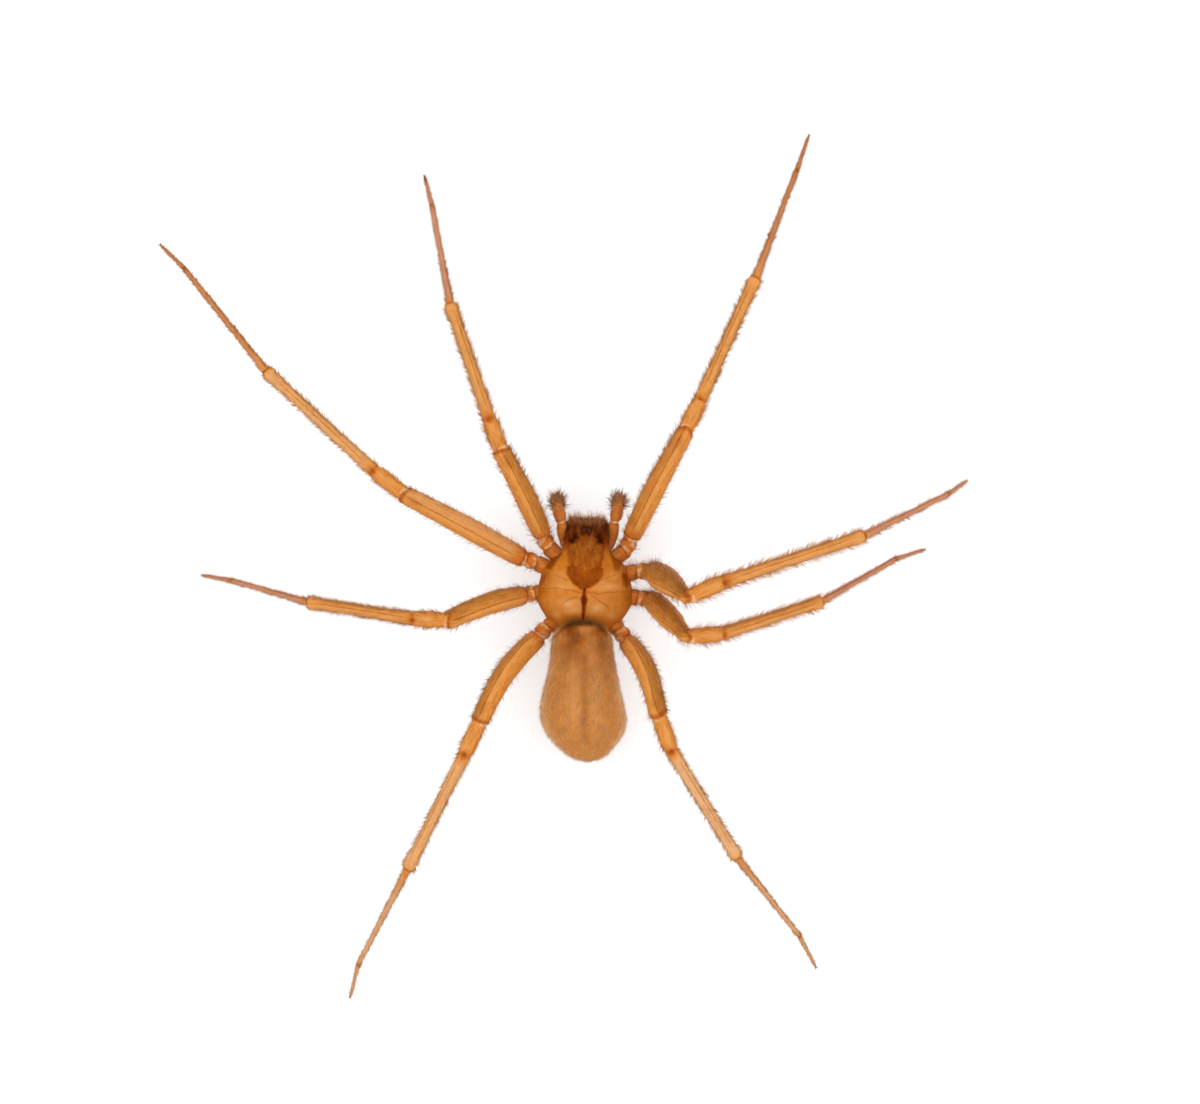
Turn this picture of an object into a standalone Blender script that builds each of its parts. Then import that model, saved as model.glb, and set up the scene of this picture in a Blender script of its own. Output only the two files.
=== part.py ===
# A brown recluse spider, standing, at its real size.
#
# Sizes are in millimetres and become metres where a mesh is made. The head points
# along +Y, the spider's right is +X, and the eight feet stand on Z = 0.
# Each part keeps a thin clear gap to the part it grows from, so that every solid
# is closed and none runs into its neighbour.

import math

import bmesh
import bpy
import numpy as np

MM = 0.001
NODE_GAP = 0.05
GAP_HALF = NODE_GAP / 2

# The body's own frame: its axis leans a little to the right of +Y.
BODY_TURN_DEG = -1.6
BODY_SHIFT_X = -0.07

# Cephalothorax stations from the front margin to the rear one:
# place along Y, half width, top height, rim height.
CARAPACE_STATIONS = (
    (2.52, 0.52, 2.33, 2.14),
    (2.42, 0.71, 2.46, 2.12),
    (2.22, 0.78, 2.61, 2.10),
    (1.90, 0.83, 2.76, 2.08),
    (1.55, 0.88, 2.88, 2.06),
    (1.30, 1.00, 2.94, 2.05),
    (1.05, 1.36, 2.98, 2.04),
    (0.75, 1.58, 3.02, 2.04),
    (0.35, 1.69, 3.04, 2.05),
    (0.00, 1.76, 3.04, 2.05),
    (-0.37, 1.79, 3.01, 2.05),
    (-0.78, 1.60, 2.88, 2.04),
    (-1.15, 1.32, 2.66, 2.03),
    (-1.45, 0.95, 2.40, 2.02),
    (-1.62, 0.55, 2.18, 2.00),
)
# The belly core under the carapace: place along Y, half width, lowest height.
CORE_STATIONS = (
    (2.52, 0.42, 2.06),
    (2.10, 0.60, 1.96),
    (1.70, 0.62, 1.72),
    (1.20, 0.62, 1.50),
    (0.40, 0.72, 1.48),
    (-0.40, 0.74, 1.48),
    (-1.10, 0.56, 1.52),
    (-1.45, 0.40, 1.68),
    (-1.62, 0.30, 1.86),
)
FOVEA_FRONT, FOVEA_REAR = -0.02, -1.10
FOVEA_DEPTH = 0.11
NECK_GROOVE_DEPTH = 0.05
NECK_GROOVE_WIDTH = 0.17
NECK_GROOVE_END = (0.92, 1.35)

# Sternum with the labium that is fused to it: place along Y, half width.
STERNUM_STATIONS = (
    (1.58, 0.10),
    (1.48, 0.20),
    (1.22, 0.25),
    (1.08, 0.46),
    (0.80, 0.58),
    (0.30, 0.64),
    (-0.30, 0.60),
    (-0.80, 0.42),
    (-1.12, 0.16),
)
STERNUM_TOP, STERNUM_EDGE, STERNUM_BELLY = 1.43, 1.38, 1.25

# Abdomen stations: place along Y, half width, centre X, centre Z, half height.
ABDOMEN_STATIONS = (
    (-1.155, 0.00, -0.17, 2.92, 0.00),
    (-1.46, 0.92, -0.18, 2.78, 0.66),
    (-1.70, 1.06, -0.19, 2.66, 0.86),
    (-2.39, 1.15, -0.18, 2.46, 1.02),
    (-3.06, 1.26, -0.17, 2.33, 1.16),
    (-3.74, 1.41, -0.19, 2.22, 1.27),
    (-4.41, 1.55, -0.17, 2.13, 1.31),
    (-4.85, 1.56, -0.12, 2.06, 1.27),
    (-5.22, 1.44, -0.09, 1.99, 1.16),
    (-5.41, 1.34, -0.08, 1.96, 1.08),
    (-5.85, 0.95, -0.03, 1.88, 0.78),
    (-6.16, 0.56, 0.01, 1.82, 0.46),
    (-6.325, 0.00, 0.01, 1.78, 0.00),
)

# Eyes: three pairs, each place as (x, y) in the body's frame.
EYE_RADIUS = 0.085
EYE_SINK = 0.030
EYE_PLACES = {
    "median_left": (-0.100, 2.19),
    "median_right": (0.100, 2.19),
    "front_side_left": (-0.450, 2.02),
    "front_side_right": (0.450, 2.02),
    "rear_side_left": (-0.545, 1.84),
    "rear_side_right": (0.545, 1.84),
}

# Legs. The lengths run femur, patella, tibia, metatarsus, tarsus.
LEG_LENGTHS = {
    1: (4.70, 1.31, 5.28, 4.60, 1.45),
    2: (5.35, 1.41, 5.90, 5.30, 1.35),
    3: (4.03, 1.36, 4.34, 4.02, 1.43),
    4: (4.56, 1.36, 5.15, 4.74, 1.55),
}
# Where each coxa leaves the body, by pair: x on the right side, y and z.
COXA_ROOTS = {
    1: (0.60, 0.95, 1.80),
    2: (0.62, 0.35, 1.80),
    3: (0.62, -0.30, 1.80),
    4: (0.52, -0.92, 1.80),
}
# The pose of each leg. size compares it with its pair's lengths; coxa_end and hip
# are places; heading is degrees from +X towards +Y; rise is degrees above level,
# and the tarsus has none because it reaches down to the floor; bow is how far the
# femur's middle leaves its chord, to the left of its heading and upwards.
LEG_POSES = {
    (1, "left"): {
        "size": 0.99,
        "coxa_end": (-1.43, 1.61, 1.98),
        "hip": (-1.68, 2.12, 2.15),
        "heading": (116.0, 110.0, 109.0, 101.0, 104.5),
        "rise": (43.0, 28.5, -30.0, -33.0),
        "bow": (-0.05, 0.22),
    },
    (2, "left"): {
        "size": 1.0,
        "coxa_end": (-1.90, 1.02, 1.93),
        "hip": (-2.43, 1.20, 2.05),
        "heading": (151.5, 142.0, 137.5, 129.0, 135.5),
        "rise": (24.5, 7.5, -21.0, -20.5),
        "bow": (-0.03, 0.20),
    },
    (3, "left"): {
        "size": 1.0,
        "coxa_end": (-1.97, -0.12, 1.92),
        "hip": (-2.41, -0.22, 2.00),
        "heading": (198.0, 177.0, 171.5, 165.0, 170.5),
        "rise": (45.5, 19.5, -25.0, -40.5),
        "bow": (-0.11, 0.24),
    },
    (4, "left"): {
        "size": 1.0,
        "coxa_end": (-1.47, -1.38, 1.93),
        "hip": (-1.87, -1.81, 2.05),
        "heading": (235.5, 245.5, 243.5, 242.5, 255.5),
        "rise": (37.0, 15.5, -21.5, -30.0),
        "bow": (-0.24, 0.24),
    },
    (1, "right"): {
        "size": 1.01,
        "coxa_end": (1.44, 1.52, 1.98),
        "hip": (1.68, 2.04, 2.15),
        "heading": (63.0, 64.5, 65.5, 69.0, 70.5),
        "rise": (26.5, -18.0, -18.5, -20.5),
        "bow": (0.04, 0.22),
    },
    (2, "right"): {
        "size": 1.0,
        "coxa_end": (1.88, 0.68, 1.93),
        "hip": (2.48, 0.70, 2.05),
        "heading": (-38.5, 23.5, 18.0, 25.5, 34.5),
        "rise": (73.5, -3.0, -21.5, -47.0),
        "bow": (0.0, 0.20),
    },
    (3, "right"): {
        "size": 1.0,
        "coxa_end": (1.92, -0.28, 1.92),
        "hip": (2.43, -0.37, 2.00),
        "heading": (-47.0, 4.5, 17.5, 29.0, 17.5),
        "rise": (63.5, -17.0, -26.5, -37.0),
        "bow": (0.0, 0.20),
    },
    (4, "right"): {
        "size": 1.0,
        "coxa_end": (1.20, -1.50, 1.93),
        "hip": (1.51, -1.95, 2.05),
        "heading": (-67.0, -70.0, -58.5, -52.0, -62.5),
        "rise": (51.5, 2.0, -24.0, -36.0),
        "bow": (0.22, 0.24),
    },
}
# Outlines of the leg's lengths: share along it, then width as seen from above.
FEMUR_WIDTHS = (
    (0, 0.57),
    (0.06, 0.70),
    (0.16, 0.76),
    (0.38, 0.80),
    (0.62, 0.75),
    (0.85, 0.68),
    (0.96, 0.67),
    (1, 0.62),
)
PATELLA_WIDTHS = ((0, 0.55), (0.12, 0.59), (0.40, 0.57), (0.72, 0.60), (0.90, 0.56), (1, 0.51))
TIBIA_WIDTHS = ((0, 0.50), (0.05, 0.53), (0.25, 0.51), (0.60, 0.50), (0.86, 0.51), (0.95, 0.55), (1, 0.50))
METATARSUS_WIDTHS = ((0, 0.46), (0.05, 0.48), (0.40, 0.44), (0.80, 0.41), (0.95, 0.40), (1, 0.37))
TARSUS_WIDTHS = ((0.06, 0.34), (0.45, 0.31), (0.80, 0.27), (0.93, 0.22), (0.99, 0.12))
# Coxa and trochanter as one piece, with the waist between them.
COXA_WIDTHS = (
    (0, 0.50),
    (0.35, 0.56),
    (0.58, 0.60),
    (0.70, 0.52),
    (0.75, 0.50),
    (0.82, 0.57),
    (0.94, 0.59),
    (1, 0.54),
)
FEMUR_DEPTH_RATIO = 1.16
TIP_HEIGHT = 0.035
MITRE_REACH = 0.35

# Palp: path from its root to its tip, for the left and the right, with widths.
PALP_PATHS = {
    "left": (
        (-0.62, 1.45, 1.82),
        (-0.84, 1.86, 1.90),
        (-0.95, 2.54, 2.36),
        (-1.01, 2.86, 2.34),
        (-1.06, 3.12, 2.10),
        (-1.15, 3.62, 1.30),
    ),
    "right": (
        (0.66, 1.48, 1.82),
        (0.91, 1.88, 1.90),
        (1.02, 2.54, 2.36),
        (1.08, 2.84, 2.34),
        (1.13, 3.10, 2.10),
        (1.20, 3.62, 1.30),
    ),
}
PALP_WIDTHS = (
    (0, 0.40),
    (0.16, 0.42),
    (0.22, 0.38),
    (0.40, 0.42),
    (0.47, 0.41),
    (0.56, 0.49),
    (0.68, 0.47),
    (0.72, 0.41),
    (0.80, 0.46),
    (0.92, 0.38),
    (0.985, 0.18),
)
ENDITE_PATH = ((0.66, 1.30, 1.62), (0.50, 1.56, 1.56), (0.27, 1.84, 1.50))
ENDITE_WIDTHS = ((0, 0.34), (0.4, 0.40), (0.8, 0.34), (0.98, 0.18))

# Chelicera and fang, given for the right side.
CHELICERA_PATH = ((0.30, 2.06, 2.22), (0.30, 2.33, 1.92), (0.30, 2.38, 1.50), (0.27, 2.34, 1.06))
CHELICERA_WIDTHS = ((0, 0.46), (0.25, 0.52), (0.55, 0.52), (0.85, 0.44), (1, 0.36))
FANG_PATH = ((0.26, 2.34, 1.01), (0.25, 2.32, 0.86), (0.17, 2.22, 0.76), (0.07, 2.10, 0.78))
FANG_WIDTHS = ((0, 0.20), (0.35, 0.17), (0.75, 0.10), (0.97, 0.04))

PEDICEL_PATH = ((-0.06, -1.25, 1.70), (-0.10, -1.62, 1.72), (-0.14, -2.10, 1.90))
PEDICEL_WIDTH = 0.46

# Spinnerets: root X and Z, length, width, spread outwards and downwards in degrees.
SPINNERET_CORE = ((-0.05, -5.36, 1.04), (-0.05, -5.72, 0.94))
SPINNERET_ROOT_Y = -5.50
SPINNERETS = (
    (0.19, 0.94, 0.60, 0.24, 8.0, 6.0),
    (0.08, 1.03, 0.50, 0.13, 4.0, -6.0),
    (0.27, 1.05, 0.48, 0.16, 14.0, -8.0),
)

LIMB_SIDES = 12
THIN_SIDES = 10
BODY_SIDES = 30

COLOURS = {
    "carapace_brown": ((0.43, 0.17, 0.045, 1), 0.42),
    "sternum_tan": ((0.50, 0.23, 0.07, 1), 0.45),
    "abdomen_tan": ((0.42, 0.20, 0.075, 1), 0.75),
    "leg_orange": ((0.58, 0.26, 0.065, 1), 0.42),
    "foot_russet": ((0.50, 0.20, 0.09, 1), 0.50),
    "palp_brown": ((0.40, 0.16, 0.05, 1), 0.50),
    "chelicera_dark": ((0.16, 0.05, 0.015, 1), 0.38),
    "fang_black": ((0.03, 0.01, 0.006, 1), 0.25),
    "eye_black": ((0.012, 0.010, 0.012, 1), 0.08),
}


def along(stations, column, at):
    """Smooth value of one column at a place, read from stations of falling place."""
    places = np.array([s[0] for s in stations])[::-1]
    values = np.array([s[column] for s in stations])[::-1]
    slopes = np.gradient(values, places)
    at = np.clip(at, places[0], places[-1])
    i = np.clip(np.searchsorted(places, at) - 1, 0, len(places) - 2)
    step = places[i + 1] - places[i]
    t = (at - places[i]) / step
    return (
        (2 * t**3 - 3 * t**2 + 1) * values[i]
        + (t**3 - 2 * t**2 + t) * step * slopes[i]
        + (3 * t**2 - 2 * t**3) * values[i + 1]
        + (t**3 - t**2) * step * slopes[i + 1]
    )


def rounded(stations, column, at):
    """As along(), for a radius that closes at its poles: its square is what is read."""
    squared = [(s[0], s[column] ** 2) for s in stations]
    places = np.array([s[0] for s in squared])[::-1]
    values = np.array([s[1] for s in squared])[::-1]
    return np.sqrt(np.maximum(np.interp(at, places, values), 0.0))


def to_world(points):
    """Turns points of the body's frame into the model's frame."""
    turn = math.radians(BODY_TURN_DEG)
    p = np.asarray(points, float)
    out = p.copy()
    out[..., 0] = p[..., 0] * math.cos(turn) - p[..., 1] * math.sin(turn) + BODY_SHIFT_X
    out[..., 1] = p[..., 0] * math.sin(turn) + p[..., 1] * math.cos(turn)
    return out


def unit(v):
    return v / np.linalg.norm(v)


def material(name):
    """The named finish, made once."""
    if name in bpy.data.materials:
        return bpy.data.materials[name]
    colour, roughness = COLOURS[name]
    made = bpy.data.materials.new(name)
    made.use_nodes = True
    shader = made.node_tree.nodes["Principled BSDF"]
    shader.inputs["Base Color"].default_value = colour
    shader.inputs["Roughness"].default_value = roughness
    shader.inputs["Metallic"].default_value = 0.0
    made.diffuse_color = colour
    return made


def solid(name, rings, finish, start_pole=None, end_pole=None):
    """A closed skin over rings of points, with a flat or a pointed end at each side."""
    rings = np.asarray(rings, float)
    mesh = bmesh.new()
    loops = [[mesh.verts.new(p * MM) for p in ring] for ring in rings]
    for first, second in zip(loops, loops[1:]):
        for k in range(len(first)):
            n = (k + 1) % len(first)
            mesh.faces.new((first[k], first[n], second[n], second[k]))
    for loop, pole, flip in ((loops[0], start_pole, True), (loops[-1], end_pole, False)):
        if pole is None:
            mesh.faces.new(loop[::-1] if flip else loop)
            continue
        tip = mesh.verts.new(np.asarray(pole, float) * MM)
        for k in range(len(loop)):
            n = (k + 1) % len(loop)
            mesh.faces.new((loop[n], loop[k], tip) if flip else (loop[k], loop[n], tip))
    bmesh.ops.triangulate(mesh, faces=mesh.faces[:])
    bmesh.ops.recalc_face_normals(mesh, faces=mesh.faces[:])
    data = bpy.data.meshes.new(name)
    mesh.to_mesh(data)
    mesh.free()
    data.shade_smooth()
    data.set_sharp_from_angle(angle=math.radians(50))
    data.materials.append(material(finish))
    made = bpy.data.objects.new(name, data)
    bpy.context.scene.collection.objects.link(made)
    return made


def carve(target, *others, join=False):
    """Cuts others out of the target, or joins them to it, and removes them."""
    group = bpy.data.collections.new("tools_" + target.name)
    bpy.context.scene.collection.children.link(group)
    for other in others:
        group.objects.link(other)
    step = target.modifiers.new("shape", "BOOLEAN")
    step.operation = "UNION" if join else "DIFFERENCE"
    step.operand_type = "COLLECTION"
    step.collection = group
    step.solver = "MANIFOLD"  # EXACT leaves the abdomen's hollow uncut
    bpy.context.view_layer.update()
    graph = bpy.context.evaluated_depsgraph_get()
    result = bpy.data.meshes.new_from_object(target.evaluated_get(graph))
    old = target.data
    target.modifiers.clear()
    target.data = result
    bpy.data.meshes.remove(old)
    for other in list(group.objects):
        bpy.data.objects.remove(other)
    bpy.data.collections.remove(group)
    keep_largest(target)
    return target


def keep_largest(target):
    """Leaves only the largest closed surface of a mesh."""
    mesh = bmesh.new()
    mesh.from_mesh(target.data)
    unseen = set(mesh.faces)
    islands = []
    while unseen:
        island = set()
        edge_of_search = [unseen.pop()]
        while edge_of_search:
            face = edge_of_search.pop()
            island.add(face)
            for edge in face.edges:
                for linked in edge.link_faces:
                    if linked in unseen:
                        unseen.remove(linked)
                        edge_of_search.append(linked)
        islands.append(island)
    islands.sort(key=lambda faces: sum(f.calc_area() for f in faces))
    for island in islands[:-1]:
        bmesh.ops.delete(mesh, geom=list(island), context="FACES")
    mesh.to_mesh(target.data)
    mesh.free()


def ring_offsets(count, direction, side):
    """Unit offsets (side part, upper part) of a ring around a direction."""
    side = unit(side - direction * np.dot(side, direction))
    upper = np.cross(side, direction)
    turn = np.linspace(0, 2 * math.pi, count, endpoint=False)
    return np.cos(turn)[:, None] * side, np.sin(turn)[:, None] * upper


def tube_rings(centres, half_widths, half_depths, side, count, planes=(None, None)):
    """Rings around a line of centres. Each end may lie in a plane (point, normal)."""
    centres = np.asarray(centres, float)
    steps = np.gradient(centres, axis=0)
    travelled = np.concatenate([[0], np.cumsum(np.linalg.norm(np.diff(centres, axis=0), axis=1))])
    rings = []
    for centre, step, s, wide, deep in zip(centres, steps, travelled, half_widths, half_depths):
        direction = unit(step)
        across, above = ring_offsets(count, direction, side)
        ring = centre + wide * across + deep * above
        for plane, distance, outward in zip(planes, (s, travelled[-1] - s), (-1, 1)):
            if plane is None:
                continue
            # How far each point slides along the limb to stand in the joint's plane.
            # The side that grows longer stops early, which rounds the knee.
            slide = -((ring - centre) @ plane[1]) / np.dot(direction, plane[1])
            slide = outward * np.minimum(outward * slide, MITRE_REACH * wide)
            fade = max(0.0, 1 - distance / (0.45 * travelled[-1]))
            ring = ring + np.outer(slide * fade, direction)
        rings.append(ring)
    return rings


def smooth_path(points, count):
    """A smooth line through the points, as evenly spaced places."""
    points = np.asarray(points, float)
    chord = np.concatenate([[0], np.cumsum(np.linalg.norm(np.diff(points, axis=0), axis=1))])
    slopes = np.gradient(points, chord, axis=0)
    places = np.linspace(0, chord[-1], count)
    i = np.clip(np.searchsorted(chord, places) - 1, 0, len(chord) - 2)
    step = (chord[i + 1] - chord[i])[:, None]
    t = ((places - chord[i]) / (chord[i + 1] - chord[i]))[:, None]
    return (
        (2 * t**3 - 3 * t**2 + 1) * points[i]
        + (t**3 - 2 * t**2 + t) * step * slopes[i]
        + (3 * t**2 - 2 * t**3) * points[i + 1]
        + (t**3 - t**2) * step * slopes[i + 1]
    )


def tube(name, path, widths, side, finish, count=LIMB_SIDES, depth_ratio=1.0, pointed=True, fine=81):
    """A tapering piece along a smooth path, ending in a point or flat."""
    line = smooth_path(path, fine)
    shares = [w[0] for w in widths]
    centres = np.array([line[round(s * (fine - 1))] for s in shares])
    half = np.array([w[1] for w in widths]) / 2
    rings = tube_rings(centres, half, half * depth_ratio, np.asarray(side, float), count)
    return solid(name, rings, finish, None, line[-1] if pointed else None)


def carapace_top(x, y, half_width, top, rim):
    """Height of the carapace over a place, with its fovea and neck grooves."""
    across = np.clip(np.abs(x) / half_width, 0, 1)
    headness = np.clip((y - 0.9) / 0.7, 0, 1)
    power = 2.1 + 1.1 * headness
    lift = (1 - across**power) ** (0.78 - 0.22 * headness)
    height = rim + (top - rim) * lift
    if FOVEA_REAR < y < FOVEA_FRONT:
        share = (y - FOVEA_REAR) / (FOVEA_FRONT - FOVEA_REAR)
        height = height - FOVEA_DEPTH * math.sin(math.pi * share) ** 0.5 * np.exp(-((x / 0.09) ** 2))
    end_x, end_y = NECK_GROOVE_END
    share = np.clip((y - 0.1) / (end_y - 0.1), 0, 1)
    distance = np.abs(np.abs(x) - share * end_x) * end_y / math.hypot(end_x, end_y)
    strength = math.sin(math.pi * min(1.0, max(0.0, share))) ** 0.5
    return height - NECK_GROOVE_DEPTH * strength * np.exp(-((distance / NECK_GROOVE_WIDTH) ** 2))


def carapace_ring(y, grow):
    """One closed section across the cephalothorax: the carapace above, the core below."""
    half_width = along(CARAPACE_STATIONS, 1, y) + grow
    top = along(CARAPACE_STATIONS, 2, y) + grow
    rim = along(CARAPACE_STATIONS, 3, y)
    core = along(CORE_STATIONS, 1, y) + grow
    bottom = along(CORE_STATIONS, 2, y) - grow
    upper_count = 19
    spread = np.linspace(-1, 1, upper_count)
    x = half_width * np.sin(spread * math.pi / 2)
    x = np.where(np.abs(spread) < 0.2, half_width * spread * 1.45, x)
    upper = np.stack([x, np.full(upper_count, y), carapace_top(x, y, half_width, top, rim)], 1)
    depth = rim - bottom
    under = rim - min(0.14, 0.5 * depth) - grow
    wall = [
        (half_width * 0.97, rim - min(0.09, 0.3 * depth) - grow),
        (min(half_width * 0.93, max(core + 0.10, half_width * 0.72)), under),
        (core + 0.02, under - min(0.02, 0.1 * depth)),
        (core, (under + bottom) / 2),
        (core * 0.92, bottom + 0.1 * (under - bottom)),
        (core * 0.55, bottom),
    ]
    right = np.array([(a, y, b) for a, b in wall])
    left = right[::-1] * (-1, 1, 1)
    return np.concatenate([upper, right, left])


def cephalothorax(name, grow=0.0):
    """The carapace with the core that carries the coxae."""
    front, rear = CARAPACE_STATIONS[0][0], CARAPACE_STATIONS[-1][0]
    share = np.linspace(0, 1, BODY_SIDES)
    places = front + (rear - front) * (share + 0.10 * np.sin(2 * math.pi * share) * -1)
    rings = [carapace_ring(y, grow) for y in places]
    rings[0][:, 1] += grow
    rings[-1][:, 1] -= grow
    return solid(name, to_world(rings), "carapace_brown")


def surface_height(x, y):
    """Top of the carapace at a place of the body's frame."""
    half_width = along(CARAPACE_STATIONS, 1, y)
    top = along(CARAPACE_STATIONS, 2, y)
    rim = along(CARAPACE_STATIONS, 3, y)
    return float(carapace_top(np.array([x]), y, half_width, top, rim)[0])


def ball(name, centre, radius, finish, count=12, rows=7):
    """A round ball of a few flat faces."""
    angles = np.linspace(0, math.pi, rows + 2)[1:-1]
    turn = np.linspace(0, 2 * math.pi, count, endpoint=False)
    circle = np.stack([np.cos(turn), np.sin(turn), np.zeros(count)], 1)
    rings = [centre + radius * (math.sin(a) * circle + (0, 0, math.cos(a))) for a in angles]
    return solid(name, rings, finish, centre + (0, 0, radius), centre - (0, 0, radius))


def eyes_and_sockets():
    """The six eyes, and a slightly larger ball for the socket of each."""
    sockets = []
    for place, (x, y) in EYE_PLACES.items():
        centre = to_world((x, y, surface_height(x, y) - EYE_SINK))
        ball("eye_" + place, centre, EYE_RADIUS, "eye_black")
        sockets.append(ball("socket_" + place, centre, EYE_RADIUS + NODE_GAP * 0.4, "eye_black"))
    return sockets


def abdomen(name, grow=0.0):
    """The pear-shaped abdomen, narrow in front and round behind."""
    front, rear = ABDOMEN_STATIONS[0][0], ABDOMEN_STATIONS[-1][0]
    turn = np.linspace(0, 2 * math.pi, 24, endpoint=False)
    rings = []
    for share in np.linspace(0, 1, 23)[1:-1]:
        y = front + (rear - front) * (1 - math.cos(math.pi * share)) / 2
        wide = rounded(ABDOMEN_STATIONS, 1, y) + grow
        high = rounded(ABDOMEN_STATIONS, 4, y) + grow
        x = along(ABDOMEN_STATIONS, 2, y) + wide * np.cos(turn)
        z = along(ABDOMEN_STATIONS, 3, y) + high * np.sin(turn)
        rings.append(np.stack([x, np.full(len(turn), y), z], 1))
    first, last = ABDOMEN_STATIONS[0], ABDOMEN_STATIONS[-1]
    return solid(
        name,
        rings,
        "abdomen_tan",
        (first[2], first[0] + grow, first[3]),
        (last[2], last[0] - grow, last[3]),
    )


def sternum():
    """The shield under the body, gently crowned downwards."""
    rings = []
    front, rear = STERNUM_STATIONS[0][0], STERNUM_STATIONS[-1][0]
    for y in np.linspace(front, rear, 15):
        half = along(STERNUM_STATIONS, 1, y)
        low = STERNUM_EDGE - (STERNUM_EDGE - STERNUM_BELLY) * min(1.0, half / 0.5)
        ring = [
            (half, STERNUM_TOP - 0.02),
            (half * 0.8, STERNUM_TOP),
            (-half * 0.8, STERNUM_TOP),
            (-half, STERNUM_TOP - 0.02),
            (-half * 0.96, STERNUM_EDGE - 0.02),
            (-half * 0.62, (STERNUM_EDGE + low * 2) / 3),
            (0.0, low),
            (half * 0.62, (STERNUM_EDGE + low * 2) / 3),
            (half * 0.96, STERNUM_EDGE - 0.02),
        ]
        rings.append([(x, y, z) for x, z in ring])
    return solid("sternum", to_world(rings), "sternum_tan")


def mirrored(path, sign):
    return [(sign * x, y, z) for x, y, z in path]


def chelicera_and_fang(side_name, sign, body_cutter):
    """The stout basal piece of one chelicera, and the curved fang at its end."""
    made = tube(
        "chelicera_" + side_name,
        to_world(mirrored(CHELICERA_PATH, sign)),
        CHELICERA_WIDTHS,
        (1, 0, 0),
        "chelicera_dark",
        pointed=False,
    )
    carve(made, body_cutter)
    tube(
        "fang_" + side_name,
        to_world(mirrored(FANG_PATH, sign)),
        FANG_WIDTHS,
        (1, 0, 0),
        "fang_black",
        count=8,
    )


def palp(side_name, sign, body_cutter):
    """One pedipalp, with the endite that lies beside the mouth."""
    path = PALP_PATHS[side_name]
    made = tube("palp_" + side_name, path, PALP_WIDTHS, (1, 0, 0), "palp_brown", THIN_SIDES)
    endite = tube(
        "endite_" + side_name,
        to_world(mirrored(ENDITE_PATH, sign)),
        ENDITE_WIDTHS,
        (0, 1, 0),
        "palp_brown",
        THIN_SIDES,
    )
    root = tube(
        "palp_root_" + side_name,
        to_world(mirrored(((0.68, 1.28, 1.62), (0.72, 1.62, 1.80)), sign)),
        ((0, 0.34), (1, 0.38)),
        (1, 0, 0),
        "palp_brown",
        THIN_SIDES,
        pointed=False,
    )
    carve(made, endite, root, join=True)
    return carve(made, body_cutter)


def direction_of(heading, rise):
    h, r = math.radians(heading), math.radians(rise)
    return np.array([math.cos(r) * math.cos(h), math.cos(r) * math.sin(h), math.sin(r)])


def leg_joints(pair, side_name):
    """Places of the leg's joints from hip to tip. The tarsus reaches the floor."""
    pose = LEG_POSES[pair, side_name]
    lengths = [length * pose["size"] for length in LEG_LENGTHS[pair]]
    joints = [np.array(pose["hip"])]
    for length, heading, rise in zip(lengths, pose["heading"], pose["rise"]):
        joints.append(joints[-1] + length * direction_of(heading, rise))
    last_rise = -math.degrees(math.asin((joints[-1][2] - TIP_HEIGHT) / lengths[-1]))
    joints.append(joints[-1] + lengths[-1] * direction_of(pose["heading"][-1], last_rise))
    return joints


def between(plane_point, before, after):
    """The plane that halves the bend between two directions."""
    return plane_point, unit(unit(before) + unit(after))


def limb_length(name, line, widths, planes, hinge, depth_ratio=1.0, count=THIN_SIDES):
    """One length of a leg. Its ends lie in the joints' planes, half a gap short of them."""
    places = np.array([w[0] for w in widths]) * (len(line) - 1)
    centres = np.stack([np.interp(places, np.arange(len(line)), line[:, k]) for k in range(3)], 1)
    half = np.array([w[1] for w in widths]) / 2
    if planes[0]:
        centres[0] += unit(line[1] - line[0]) * GAP_HALF
    if planes[1]:
        centres[-1] -= unit(line[-1] - line[-2]) * GAP_HALF
    return solid(name, tube_rings(centres, half, half * depth_ratio, hinge, count, planes), "leg_orange")


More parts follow.
